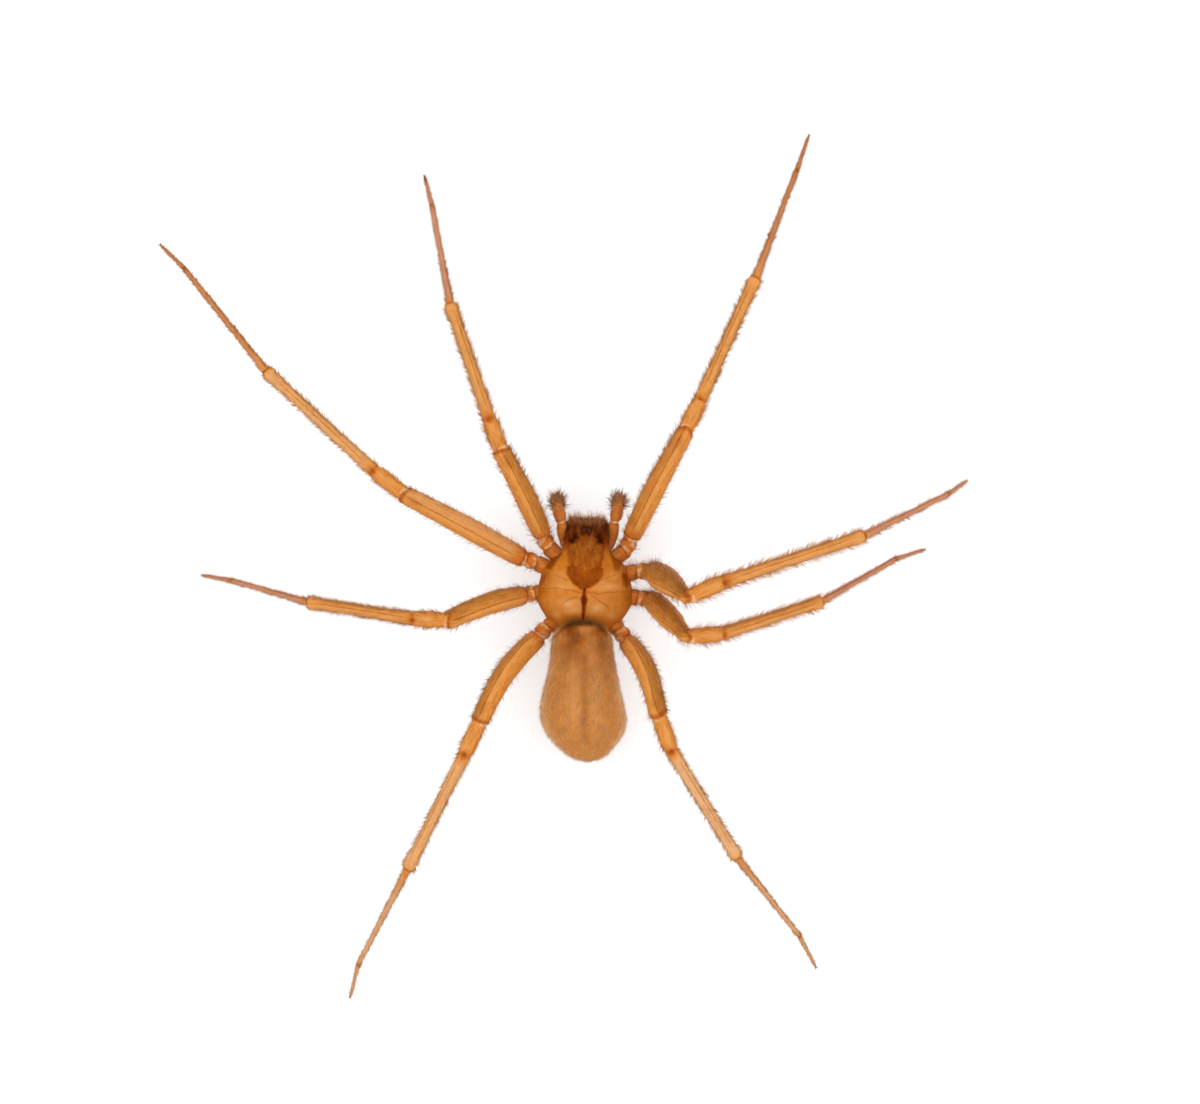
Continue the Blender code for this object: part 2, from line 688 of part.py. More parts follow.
def leg(pair, side_name, body_cutter):
    """All of one leg: coxa, femur, patella, tibia and foot."""
    pose = LEG_POSES[pair, side_name]
    sign = -1 if side_name == "left" else 1
    name = f"leg{pair}_{side_name}_"
    joints = leg_joints(pair, side_name)
    hip, knee, shin_top, ankle, foot_joint, tip = joints

    # The leg's hinge axis stands square to the plane that its knee bends in.
    hinge = unit(np.cross(knee - hip, ankle - shin_top))
    upper = np.cross(hinge, unit(knee - hip))
    hinge = hinge if upper[2] > 0 or pose["rise"][0] > 60 else -hinge

    chord = knee - hip
    to_left = unit(np.array([-chord[1], chord[0], 0.0]))
    upward = np.cross(unit(chord), to_left)
    shares = np.linspace(0, 1, 41)[:, None]
    bow = to_left * pose["bow"][0] + upward * pose["bow"][1]
    femur_line = hip + chord * shares + np.sin(math.pi * shares) * bow

    root_x, root_y, root_z = COXA_ROOTS[pair]
    root = to_world((sign * root_x, root_y, root_z))
    coxa_line = smooth_path([root, pose["coxa_end"], hip], 41)

    at_hip = between(hip, coxa_line[-1] - coxa_line[-2], femur_line[1] - femur_line[0])
    at_knee = between(knee, femur_line[-1] - femur_line[-2], shin_top - knee)
    at_shin = between(shin_top, shin_top - knee, ankle - shin_top)
    at_ankle = between(ankle, ankle - shin_top, foot_joint - ankle)

    coxa = limb_length(name + "coxa", coxa_line, COXA_WIDTHS, (None, at_hip), hinge, 1.0, LIMB_SIDES)
    carve(coxa, body_cutter)
    limb_length(
        name + "femur", femur_line, FEMUR_WIDTHS, (at_hip, at_knee), hinge, FEMUR_DEPTH_RATIO, LIMB_SIDES
    )
    straight = np.linspace(0, 1, 21)[:, None]
    patella_line = knee + (shin_top - knee) * straight
    limb_length(name + "patella", patella_line, PATELLA_WIDTHS, (at_knee, at_shin), hinge)
    tibia_line = shin_top + (ankle - shin_top) * straight
    limb_length(name + "tibia", tibia_line, TIBIA_WIDTHS, (at_shin, at_ankle), hinge)
    foot(name + "foot", ankle, foot_joint, tip, hinge, at_ankle)


def foot(name, ankle, foot_joint, tip, hinge, at_ankle):
    """Metatarsus and tarsus, flattened where the tip stands on the floor."""
    centres, half = [], []
    for start, end, widths in ((ankle, foot_joint, METATARSUS_WIDTHS), (foot_joint, tip, TARSUS_WIDTHS)):
        for share, width in widths:
            centres.append(start + (end - start) * share)
            half.append(width / 2)
    centres[0] = centres[0] + unit(foot_joint - ankle) * GAP_HALF
    rings = np.array(tube_rings(centres, half, half, hinge, THIN_SIDES, (at_ankle, None)))
    end = tip + unit(tip - foot_joint) * 0.02
    rings[..., 2] = np.maximum(rings[..., 2], 0.0)
    end[2] = max(end[2], 0.0)
    solid(name, rings, "foot_russet", None, end)


def spinnerets(abdomen_cutter):
    """Six spinnerets on one low root under the abdomen's end."""
    core = tube(
        "spinnerets",
        SPINNERET_CORE,
        ((0, 0.70), (0.6, 0.68), (1, 0.56)),
        (1, 0, 0),
        "abdomen_tan",
        depth_ratio=0.62,
        pointed=False,
    )
    pieces = []
    for sign in (-1, 1):
        for k, (x, z, length, width, outward, downward) in enumerate(SPINNERETS):
            sideways, down = math.sin(math.radians(outward)), math.sin(math.radians(downward))
            aim = np.array([sign * sideways, -1.0, -down])
            start = np.array([sign * x - 0.05, SPINNERET_ROOT_Y, z])
            path = (start, start + unit(aim) * length)
            widths = ((0, width), (0.6, width * 0.95), (0.93, width * 0.6))
            pieces.append(tube(f"spinneret{k}_{sign}", path, widths, (1, 0, 0), "abdomen_tan", 8))
    carve(core, *pieces, join=True)
    return carve(core, abdomen_cutter)


def stand_on_floor():
    """Hangs every part on one empty, whose place puts the model's base at the origin."""
    parts = [o for o in bpy.context.scene.objects if o.type == "MESH"]
    corners = np.array([v.co for o in parts for v in o.data.vertices])
    low, high = corners.min(0), corners.max(0)
    frame = bpy.data.objects.new("spider", None)
    bpy.context.scene.collection.objects.link(frame)
    frame.location = (-(low[0] + high[0]) / 2, -(low[1] + high[1]) / 2, -low[2])
    for part in parts:
        part.parent = frame


def build():
    for old in list(bpy.data.objects):
        bpy.data.objects.remove(old)

    body = cephalothorax("cephalothorax")
    carve(body, *eyes_and_sockets())
    carve(body, abdomen("abdomen_cutter", NODE_GAP))
    abdomen("abdomen")
    sternum()

    pedicel_widths = tuple((share, PEDICEL_WIDTH) for share in (0, 0.5, 1))
    pedicel = tube("pedicel", PEDICEL_PATH, pedicel_widths, (1, 0, 0), "carapace_brown", pointed=False)
    carve(pedicel, cephalothorax("body_cutter", NODE_GAP), abdomen("abdomen_cutter", NODE_GAP))
    spinnerets(abdomen("abdomen_cutter", NODE_GAP))

    for side_name, sign in (("left", -1), ("right", 1)):
        chelicera_and_fang(side_name, sign, cephalothorax("body_cutter", NODE_GAP))
        palp(side_name, sign, cephalothorax("body_cutter", NODE_GAP))
        for pair in LEG_LENGTHS:
            leg(pair, side_name, cephalothorax("body_cutter", NODE_GAP))
    stand_on_floor()


build()
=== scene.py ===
# The looks of a standing brown recluse spider, built round its fixed solids.
# Sizes are in millimetres, measured from a point on the spider's back: +Y towards the
# head, +X the spider's right, +Z up from the floor. They become metres in each mesh.

import math

import bpy
import numpy as np
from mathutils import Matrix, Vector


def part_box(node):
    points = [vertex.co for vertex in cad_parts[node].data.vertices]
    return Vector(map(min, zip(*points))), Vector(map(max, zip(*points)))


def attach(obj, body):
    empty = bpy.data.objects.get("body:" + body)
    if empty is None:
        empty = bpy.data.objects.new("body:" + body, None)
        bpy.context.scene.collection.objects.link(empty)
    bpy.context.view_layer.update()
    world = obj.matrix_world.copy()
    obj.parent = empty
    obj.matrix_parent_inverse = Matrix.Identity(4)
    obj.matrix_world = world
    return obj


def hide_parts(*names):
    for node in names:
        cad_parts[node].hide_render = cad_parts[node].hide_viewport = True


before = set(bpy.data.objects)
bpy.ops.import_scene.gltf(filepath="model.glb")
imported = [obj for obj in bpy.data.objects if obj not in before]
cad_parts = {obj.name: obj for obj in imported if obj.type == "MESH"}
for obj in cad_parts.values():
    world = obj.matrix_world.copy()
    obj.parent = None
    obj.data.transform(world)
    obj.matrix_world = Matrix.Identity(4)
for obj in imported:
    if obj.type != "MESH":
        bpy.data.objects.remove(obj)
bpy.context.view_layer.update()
mm = 0.001
dice = np.random.default_rng(11)
print("frame loaded:", len(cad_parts), "solids")

# The body leans a little to the right of +Y. Its front eyes say where it stands.
bodyPlace = {"turn": -1.6, "shift": -0.07, "frontEyes": (0.0, 2.19, 0.0)}


# A point of the body's own axes: turned about the vertical, then moved sideways.
def fromBody(points):
    turn = math.radians(bodyPlace["turn"])
    p = np.asarray(points, float)
    out = p.copy()
    out[..., 0] = p[..., 0] * math.cos(turn) - p[..., 1] * math.sin(turn) + bodyPlace["shift"]
    out[..., 1] = p[..., 0] * math.sin(turn) + p[..., 1] * math.cos(turn)
    return out


eyeCorners = [np.array(c) for side in ("left", "right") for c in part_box("eye_median_" + side)]
spiderPlace = sum(eyeCorners) / 4 / mm - fromBody(bodyPlace["frontEyes"])
spiderPlace[2] = 0.0
print("spider stands at", spiderPlace.round(4))


cameraSettings = {
    "looksAt": (0.4815, 1.4074),
    "distance": 300.0,  # above the level of the body
    "levelOfBody": 2.0,
    "viewWidth": 44.444,  # how much the picture shows at that level
    "sensor": 36.0,
}


# The camera looks straight down. Its lens follows from its distance and what it shows.
def addCamera():
    s = cameraSettings
    data = bpy.data.cameras.new("photoCamera")
    data.sensor_width = s["sensor"]
    data.lens = s["sensor"] * s["distance"] / s["viewWidth"]
    data.clip_start = 0.01
    data.clip_end = 10.0
    camera = bpy.data.objects.new("photoCamera", data)
    x, y = s["looksAt"] + spiderPlace[:2]
    camera.location = (x * mm, y * mm, (s["levelOfBody"] + s["distance"]) * mm)
    bpy.context.scene.collection.objects.link(camera)
    bpy.context.scene.camera = camera


# The paper is lit past white, as in the photograph, so every colour is taken down by
# colourShare before it goes into a shader. A lamp is its place, diameter and power.
lightSettings = {
    "sky": 1.28,
    "overheadSoftbox": ((-40, 60, 240), 200.0, 0.150),
    "sideSoftbox": ((130, -40, 150), 60.0, 0.040),
    "colourShare": 0.66,
}


def addLamp(name, place, size, power):
    data = bpy.data.lights.new(name, "AREA")
    data.shape = "DISK"
    data.size = size * mm
    data.energy = power
    lamp = bpy.data.objects.new(name, data)
    lamp.location = np.array(place) * mm
    aim = -lamp.location
    lamp.rotation_euler = aim.to_track_quat("-Z", "Y").to_euler()
    bpy.context.scene.collection.objects.link(lamp)


# Even light from all round, a wide lamp above and a small one to the right.
def addLight():
    world = bpy.data.worlds.new("paleRoom")
    world.use_nodes = True
    sky = world.node_tree.nodes["Background"]
    sky.inputs["Color"].default_value = (1.0, 1.0, 1.0, 1.0)
    sky.inputs["Strength"].default_value = lightSettings["sky"]
    bpy.context.scene.world = world
    for name in ("overheadSoftbox", "sideSoftbox"):
        addLamp(name, *lightSettings[name])
    view = bpy.context.scene.view_settings
    view.view_transform = "Standard"
    view.look = "None"


# One output of a node. Sums and products of these add Math nodes.
class Wire:
    def __init__(self, tree, link=None):
        self.tree = tree
        self.link = link

    # Adds a node: its type, its settings, then the values or links of its sockets.
    def add(self, kind, settings=None, sockets=None, output=0):
        made = self.tree.nodes.new(kind)
        for name, value in (settings or {}).items():
            setattr(made, name, value)
        self.feed(made, sockets or {})
        return Wire(self.tree, made.outputs[output])

    # Gives a node's sockets their values or links.
    def feed(self, node, sockets):
        for name, value in sockets.items():
            if isinstance(value, Wire):
                self.tree.links.new(value.link, node.inputs[name])
            else:
                node.inputs[name].default_value = value

    def maths(self, operation, *values, clamp=False):
        settings = {"operation": operation, "use_clamp": clamp}
        return self.add("ShaderNodeMath", settings, dict(enumerate(values)))

    def __add__(self, other):
        return self.maths("ADD", self, other)

    __radd__ = __add__

    def __mul__(self, other):
        return self.maths("MULTIPLY", self, other)

    __rmul__ = __mul__

    def __sub__(self, other):
        return self.maths("SUBTRACT", self, other)

    def __rsub__(self, other):
        return self.maths("SUBTRACT", other, self)

    def clamped(self):
        return self.maths("ADD", self, 0.0, clamp=True)

    def absolute(self):
        return self.maths("ABSOLUTE", self)

    # One of the markings that a skin keeps; output 2 is a number, output 1 a place.
    def mark(self, name, output=2):
        return self.add("ShaderNodeAttribute", {"attribute_name": name}, output=output)

    def colour(self, value):
        made = self.add("ShaderNodeRGB")
        made.link.default_value = value
        return made

    # 0 below low, 1 above high, smooth between.
    def step(self, low, high):
        return self.add(
            "ShaderNodeMapRange",
            {"interpolation_type": "SMOOTHSTEP"},
            {"Value": self, "From Min": low, "From Max": high},
        )

    def scaled(self, factors):
        return self.add("ShaderNodeVectorMath", {"operation": "MULTIPLY"}, {0: self, 1: factors})

    def noise(self, scale, detail=2.0, rough=0.5):
        sockets = {"Vector": self, "Scale": scale, "Detail": detail, "Roughness": rough}
        return self.add("ShaderNodeTexNoise", {}, sockets)

    # This colour, turned into another by a factor.
    def towards(self, other, factor, how="MIX"):
        return self.add(
            "ShaderNodeMix",
            {"data_type": "RGBA", "blend_type": how},
            {0: factor, 6: self, 7: other},
            output=2,
        )


# A new finish, its shader, and where its own nodes start.
def newFinish(name):
    made = bpy.data.materials.new(name)
    made.use_nodes = True
    return made, made.node_tree.nodes["Principled BSDF"], Wire(made.node_tree)


# A colour as seen on screen, 0 to 255, in the linear values that shaders take.
def colourOf(r, g, b):
    share = np.array((r, g, b)) / 255
    linear = np.where(share <= 0.04045, share / 12.92, ((share + 0.055) / 1.055) ** 2.4)
    return (*(linear * lightSettings["colourShare"]).tolist(), 1.0)


def unit(v):  # the same direction, of length 1
    v = np.asarray(v, float)
    return v / np.maximum(np.linalg.norm(v, axis=-1, keepdims=True), 1e-12)


def smoothStep(value, low, high):  # 0 below low, 1 above high, smooth between
    t = np.clip((value - low) / (high - low), 0, 1)
    return t * t * (3 - 2 * t)


# A smooth curve through (place, value) pairs, read at other places: cubic pieces whose
# slopes are those of the neighbours.
def through(places, values, at):
    places, values = np.asarray(places, float), np.asarray(values, float)
    slopes = np.gradient(values, places, axis=0)
    at = np.clip(at, places[0], places[-1])
    i = np.clip(np.searchsorted(places, at, side="right") - 1, 0, len(places) - 2)
    step = places[i + 1] - places[i]
    t = (at - places[i]) / step
    if values.ndim > 1:
        t, step = t[..., None], step[..., None]
    return (
        (2 * t**3 - 3 * t**2 + 1) * values[i]
        + (t**3 - 2 * t**2 + t) * step * slopes[i]
        + (3 * t**2 - 2 * t**3) * values[i + 1]
        + (t**3 - t**2) * step * slopes[i + 1]
    )


def fromTable(stations, column, at):  # one column of a table, read along its first
    rows = sorted((row[0], row[column]) for row in stations)
    return through([r[0] for r in rows], [r[1] for r in rows], at)


def lengthsAlong(points):  # how far along a line each of its points lies
    return np.concatenate([[0], np.cumsum(np.linalg.norm(np.diff(points, axis=0), axis=1))])


# Values evened out along a row: each becomes the mean of its neighbours and twice itself.
def smoothed(values, times):
    values = values.copy()
    for _ in range(times):
        values[1:-1] = (values[:-2] + 2 * values[1:-1] + values[2:]) / 4
    return values


def bell(value, centre, width):  # 1 at the centre, fading to nothing on both sides
    return np.exp(-(((value - centre) / width) ** 2))


# Uneven waves: a sum of sines in seeded directions, about -1 to 1.
def ripple(x, y, scale, seed):
    own = np.random.default_rng(seed)
    total = 0.0
    for k in range(7):
        turn, phase = own.uniform(0, 2 * math.pi, 2)
        pitch = scale * own.uniform(0.6, 1.9)
        total = total + np.sin((x * math.cos(turn) + y * math.sin(turn)) * pitch + phase)
    return total / 4


# Distance from places to a broken line, with the line's own width at the nearest point.
def nearLine(x, y, corners, widths):
    best, wide = np.full(np.shape(x), 9.0), np.full(np.shape(x), widths[0])
    for (ax, ay), (bx, by), wa, wb in zip(corners, corners[1:], widths, widths[1:]):
        dx, dy = bx - ax, by - ay
        t = np.clip(((x - ax) * dx + (y - ay) * dy) / (dx * dx + dy * dy), 0, 1)
        far = np.hypot(x - ax - t * dx, y - ay - t * dy)
        closer = far < best
        best = np.where(closer, far, best)
        wide = np.where(closer, wa + (wb - wa) * t, wide)
    return best, wide


def lineMask(x, y, corners, widths):  # 1 on a broken line, fading as a bell beside it
    far, wide = nearLine(x, y, corners, widths)
    return bell(far, 0, np.maximum(wide, 1e-6))


# 1 inside an outline, 0 outside, soft over a given width: the distance to its edge,
# signed by how many sides a ray crosses.
def insideMask(x, y, corners, soft):
    ring = list(corners) + [corners[0]]
    far = nearLine(x, y, ring, [1.0] * len(ring))[0]
    inside = np.zeros(np.shape(x), bool)
    for (ax, ay), (bx, by) in zip(ring, ring[1:]):
        if ay != by:
            crosses = (ay > y) != (by > y)
            inside ^= crosses & (x < (bx - ax) * (y - ay) / (by - ay) + ax)
    return smoothStep(np.where(inside, far, -far), -soft, soft)


# Rings swept along a line of centres: an ellipse square to the line at each place, whose
# first axis stays as near to `side` as it can. Returns rings, around, xyz.
def sweep(centres, halfWidths, halfDepths, side, around):
    direction = unit(np.gradient(centres, axis=0))
    across = np.broadcast_to(np.asarray(side, float), centres.shape)
    across = unit(across - direction * np.sum(across * direction, axis=1, keepdims=True))
    above = np.cross(across, direction)
    turn = np.arange(around) * 2 * math.pi / around
    size = (len(centres), around)
    halves = (half[:, None] if np.ndim(half) == 1 else half for half in (halfWidths, halfDepths))
    wide, deep = (np.broadcast_to(half, size)[..., None] for half in halves)
    rings = centres[:, None] + wide * np.cos(turn)[None, :, None] * across[:, None]
    return rings + deep * np.sin(turn)[None, :, None] * above[:, None]


# A skin is a closed grid of points with its outward normals, the direction in which its
# rings follow each other, and its markings, each a value for every point of the grid.
def skinOf(grid, marks):
    ahead = np.gradient(grid, axis=0)
    roundIt = np.roll(grid, -1, 1) - np.roll(grid, 1, 1)
    normal = unit(np.cross(ahead, roundIt))
    outward = np.sum(normal * (grid - grid.mean(1, keepdims=True)))
    full = {k: np.broadcast_to(v, grid.shape[:2] + np.shape(v)[2:]) for k, v in marks.items()}
    return {"grid": grid, "normal": normal * np.sign(outward), "ahead": unit(ahead), "marks": full}


# The faces of a skin: quads between neighbouring rings and a fan to a pole at each end.
def surfaceOf(skin):
    grid = skin["grid"]
    n, m = grid.shape[:2]
    i, j = np.meshgrid(np.arange(n - 1), np.arange(m), indexing="ij")
    i, j = i.ravel(), j.ravel()
    k = (j + 1) % m
    quads = np.stack([i * m + j, i * m + k, (i + 1) * m + k, (i + 1) * m + j], 1)
    a = np.arange(m)
    b = (a + 1) % m
    first, last = np.zeros(m), np.full(m, n - 1.0)
    start = np.stack([b, a, np.full(m, n * m)], 1)
    end = np.stack([(n - 1) * m + a, (n - 1) * m + b, np.full(m, n * m + 1)], 1)
    corners = (
        ((i, j), (i, j + 1), (i + 1, j + 1), (i + 1, j)),
        ((first, a + 1), (first, a), (first - 0.8, a + 0.5)),
        ((last, a), (last, a + 1), (last + 0.8, a + 0.5)),
    )
    places = [np.array(c).transpose(2, 0, 1) for c in corners]
    points = np.concatenate([grid.reshape(-1, 3), grid[0].mean(0)[None], grid[-1].mean(0)[None]])
    faces = [quads, start, end]
    one, two, three, four = (points[quads[:, c]] for c in range(4))
    outward = skin["normal"].reshape(-1, 3)[quads[:, 0]]
    if np.sum(np.cross(three - one, four - two) * outward) < 0:
        faces = [f[:, ::-1] for f in faces]
        places = [p[:, ::-1] for p in places]
    marks = {}
    for name, values in skin["marks"].items():
        flat = values.reshape(n * m, *values.shape[2:])
        marks[name] = np.concatenate([flat, values[0].mean(0)[None], values[-1].mean(0)[None]])
    size = np.array([n + 1.0, m])
    return {"points": points, "faces": faces, "uv": [(p + (1, 0)) / size for p in places], "marks": marks}


# Several closed surfaces as one: their points follow each other, and each has its own
# strip of the unwrap.
def joined(surfaces):
    counts = [len(s["points"]) for s in surfaces]
    starts = np.cumsum([0] + counts[:-1])
    share = np.array([1.0, 1 / len(surfaces)])
    faces, uv = [], []
    for place, (s, start) in enumerate(zip(surfaces, starts)):
        faces += [f + start for f in s["faces"]]
        uv += [(u + (0, place)) * share for u in s["uv"]]
    names = surfaces[0]["marks"]
    marks = {name: np.concatenate([s["marks"][name] for s in surfaces]) for name in names}
    points = np.concatenate([s["points"] for s in surfaces])
    return {"points": points, "faces": faces, "uv": uv, "marks": marks}


# A surface as a mesh in metres, with its unwrap and its markings, put round its nodes.
def addPiece(name, surface, finish, nodes=()):
    points = surface["points"] + spiderPlace
    points[:, 2] = np.maximum(points[:, 2], 0.0)
    corners = np.concatenate([f.ravel() for f in surface["faces"]])
    sizes = np.concatenate([np.full(len(f), f.shape[1]) for f in surface["faces"]])
    mesh = bpy.data.meshes.new(name)
    mesh.vertices.add(len(points))
    mesh.vertices.foreach_set("co", (points * mm).astype(np.float32).ravel())
    mesh.loops.add(len(corners))
    mesh.loops.foreach_set("vertex_index", corners.astype(np.int32))
    mesh.polygons.add(len(sizes))
    mesh.polygons.foreach_set("loop_start", (np.cumsum(sizes) - sizes).astype(np.int32))
    layer = mesh.uv_layers.new(name="OFBake")
    uv = np.concatenate([u.reshape(-1, 2) for u in surface["uv"]])
    layer.data.foreach_set("uv", uv.astype(np.float32).ravel())
    for mark, values in surface["marks"].items():
        kind, field = ("FLOAT", "value") if values.ndim == 1 else ("FLOAT_VECTOR", "vector")
        made = mesh.attributes.new(mark, kind, "POINT")
        made.data.foreach_set(field, values.astype(np.float32).ravel())
    mesh.update(calc_edges=True)
    mesh.shade_smooth()
    mesh.materials.append(finish)
    piece = bpy.data.objects.new(name, mesh)
    bpy.context.scene.collection.objects.link(piece)
    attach(piece, "root")
    if nodes:
        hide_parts(*nodes)


# A value of a skin's grid between its points: the mean of the four around it, by nearness.
def sample(values, i, j):
    n, m = values.shape[:2]
    low = np.clip(np.floor(i).astype(int), 0, n - 2)
    left = np.floor(j).astype(int)
    a, b = i - low, j - left
    left, right = left % m, (left + 1) % m
    if values.ndim > 2:
        a, b = a[:, None], b[:, None]
    first = values[low, left] * (1 - b) + values[low, right] * b
    second = values[low + 1, left] * (1 - b) + values[low + 1, right] * b
    return first * (1 - a) + second * a


# Hairs: each is a thin cone of three sides, a flat one outward, bent along a curve that
# leaves the skin at an angle (lift) and curls back to it (curl). It points the way that
# the rings follow each other, or along flow, turned by lay.
def hairsOf(skin, i, j, length, width, lift, curl, lay, steps=3, flow=None, bold=1.0):
    count = len(i)
    root = sample(skin["grid"], i, j)
    normal = unit(sample(skin["normal"], i, j))
    ahead = sample(skin["ahead"], i, j) if flow is None else np.broadcast_to(flow, (count, 3))
    ahead = unit(ahead - normal * np.sum(ahead * normal, 1, keepdims=True))
    aside = np.cross(normal, ahead)
    along = ahead * np.cos(lay)[:, None] + aside * np.sin(lay)[:, None]
    across = np.cross(normal, along)
    t = np.linspace(0, 1, steps + 1)[None, :]
    out = np.cos(lift)[:, None] * t + (1 - np.cos(lift))[:, None] * curl[:, None] * t**2 / 2
    up = np.sin(lift)[:, None] * (t - curl[:, None] * t**2 / 2)
    out, up = ((part * length[:, None])[..., None] for part in (out, up))
    line = along[:, None] * out + normal[:, None] * up
    line = line + (root - normal * np.minimum(0.02, 0.05 * length)[:, None])[:, None]
    tangent = unit(np.gradient(line, axis=1))
    second = unit(np.cross(tangent, across[:, None]))
    corner = np.arange(3) * 2 * math.pi / 3 - math.pi / 2
    radius = (width / 2)[:, None] * (1 - t**2.4)
    ring = across[:, None, None] * np.cos(corner)[:, None]
    ring = ring + second[:, :, None] * np.sin(corner)[:, None]
    rings = line[:, :-1, None] + ring[:, :-1] * radius[:, :-1, None, None]
    points = np.concatenate([rings.reshape(count, -1, 3), line[:, -1:]], 1)
    each = points.shape[1]
    a = np.arange(3)
    b = (a + 1) % 3
    tris = [np.array([[0, 1, 2]])]
    for s in range(steps - 1):
        tris.append(np.stack([s * 3 + a, s * 3 + b + 3, s * 3 + b], 1))
        tris.append(np.stack([s * 3 + a, s * 3 + a + 3, s * 3 + b + 3], 1))
    top = (steps - 1) * 3
    tris.append(np.stack([top + a, np.full(3, each - 1), top + b], 1))
    template = np.concatenate(tris)
    one, two, three = (points[:, template[:, c]] - root[:, None] for c in range(3))
    if np.sum(np.cross(two, three) * one) < 0:
        template = template[:, ::-1]
    faces = (np.arange(count)[:, None, None] * each + template[None]).reshape(-1, 3)
    n, m = skin["grid"].shape[:2]
    home = np.stack([(i + 1) / (n + 1), (j % m) / m], 1)
    reach = np.concatenate([np.repeat(t[0, :-1], 3), [1.0]])
    spot = np.stack([reach, np.concatenate([np.tile([0.0, 1.0, 0.5], steps), [0.5]])], 1) * 0.003 - 0.0015
    uv = np.clip(home[:, None, None] + spot[template][None], 0.0, 1.0).reshape(-1, 3, 2)
    marks = {k: np.repeat(sample(v, i, j), each, 0) for k, v in skin["marks"].items()}
    marks["reach"] = np.tile(reach, count)
    marks["chance"] = np.repeat(dice.random(count), each)
    marks["bold"] = np.repeat(np.broadcast_to(bold, count), each)
    return {"points": points.reshape(-1, 3), "faces": [faces], "uv": [uv], "marks": marks}


# How so many hairs stand, drawn at random between a dictionary's values: their widths,
# lifts in degrees, curls, and turns about nought, whose spread is in degrees.
def stanceOf(h, count, moreLift=0):
    width = dice.uniform(*h["width"], count)
    low, high = h["lift"]
    lift = np.radians(dice.uniform(low, high + moreLift, count))
    curl = dice.uniform(*h["curl"], count)
    return width, lift, curl, np.radians(dice.normal(0, h["lay"], count))


# Pigments that every skin and hair shares. The stains multiply the colour under them.
pigments = {
    "stain": (0.56, 0.36, 0.06, 1.0),
    "deepStain": (0.28, 0.15, 0.06, 1.0),
    "redStain": (0.84, 0.42, 0.10, 1.0),
    "tan": colourOf(250, 182, 112),
    "pale": colourOf(255, 210, 172),
}


# A thin dotted dark line along a leg's back, with a pale band beside it, drawn by the
# distance in millimetres from the middle of the back.
def paintBackLine(start, line, lie, dark):
    strength = start.mark("line")
    across = start.add("ShaderNodeSeparateXYZ", {}, {0: lie}, output=1)
    wobble = lie.scaled((1.4, 0.0, 0.0)).noise(1.0, 2.0)
    across = across + (wobble - 0.5) * line["wobble"]
    dots = lie.scaled((14.0, 3.0, 0.0)).noise(1.0, 1.0).step(0.40, 0.62)
    far = (across - line["place"]).absolute()
    stroke = 1 - far.step(line["width"] * 0.3, line["width"])
    band = (across - line["paleAt"]).absolute()
    glow = 1 - band.step(0.02, line["paleWidth"])
    rows = across.maths("PINGPONG", across, line["rowGap"])
    hairRows = (1 - rows.step(0.008, 0.022)) * dots
    oneSide = across.step(line["place"] + 0.03, line["place"] + 0.08)
    beside = oneSide + (1 - across.step(line["paleAt"] - 0.16, line["paleAt"] - 0.10))
    dark = dark + stroke * strength * (dots * 0.5 + 0.5) * line["darkness"]
    dark = dark + hairRows * beside * strength * line["rows"]
    return dark, glow * strength * line["paleness"]


# The colour of a shell: two tones mixed by streaky noise, the shared pigments laid over
# them by the skin's own markings, and fine specks.
def paintShell(start, look):
    lie = start.mark("lie", 1)
    dark, red, pale, other = (start.mark(name) for name in ("dark", "red", "pale", "other"))
    light = None
    if "backLine" in look:
        dark, light = paintBackLine(start, look["backLine"], lie, dark)
    streaks = lie.scaled(look["streakScale"]).noise(1.0, 3.0, 0.6)
    specks = lie.noise(look["speckScale"], 1.0, 0.5)
    colour = start.colour(look["base"])
    colour = colour.towards(look["second"], streaks.step(0.35, 0.70) * look["mottle"])
    colour = colour.towards(look["other"], (other + (streaks - 0.5) * 0.35 * other).clamped())
    if light:
        colour = colour.towards(look["backLine"]["light"], light.clamped())
    colour = colour.towards(pigments["redStain"], (red + (streaks - 0.5) * 0.6 * red).clamped(), "MULTIPLY")
    colour = colour.towards(pigments["tan"], (pale * 1.8).clamped())
    colour = colour.towards(pigments["pale"], ((pale - 0.30) * (streaks * 2.6 - 0.05)).clamped())
    if "rose" in look:
        rose = start.mark("rose")
        colour = colour.towards(look["rose"], (rose + (streaks - 0.5) * 0.5 * rose).clamped())
    amount = dark * 2 + (streaks - 0.5) * 1.2 * dark
    colour = colour.towards(pigments["stain"], amount.clamped(), "MULTIPLY")
    colour = colour.towards(pigments["deepStain"], (amount - 1).clamped(), "MULTIPLY")
    fleck = specks.step(0.56, 0.70) * look["specks"]
    return colour.towards(look["speckColour"], fleck), streaks, dark


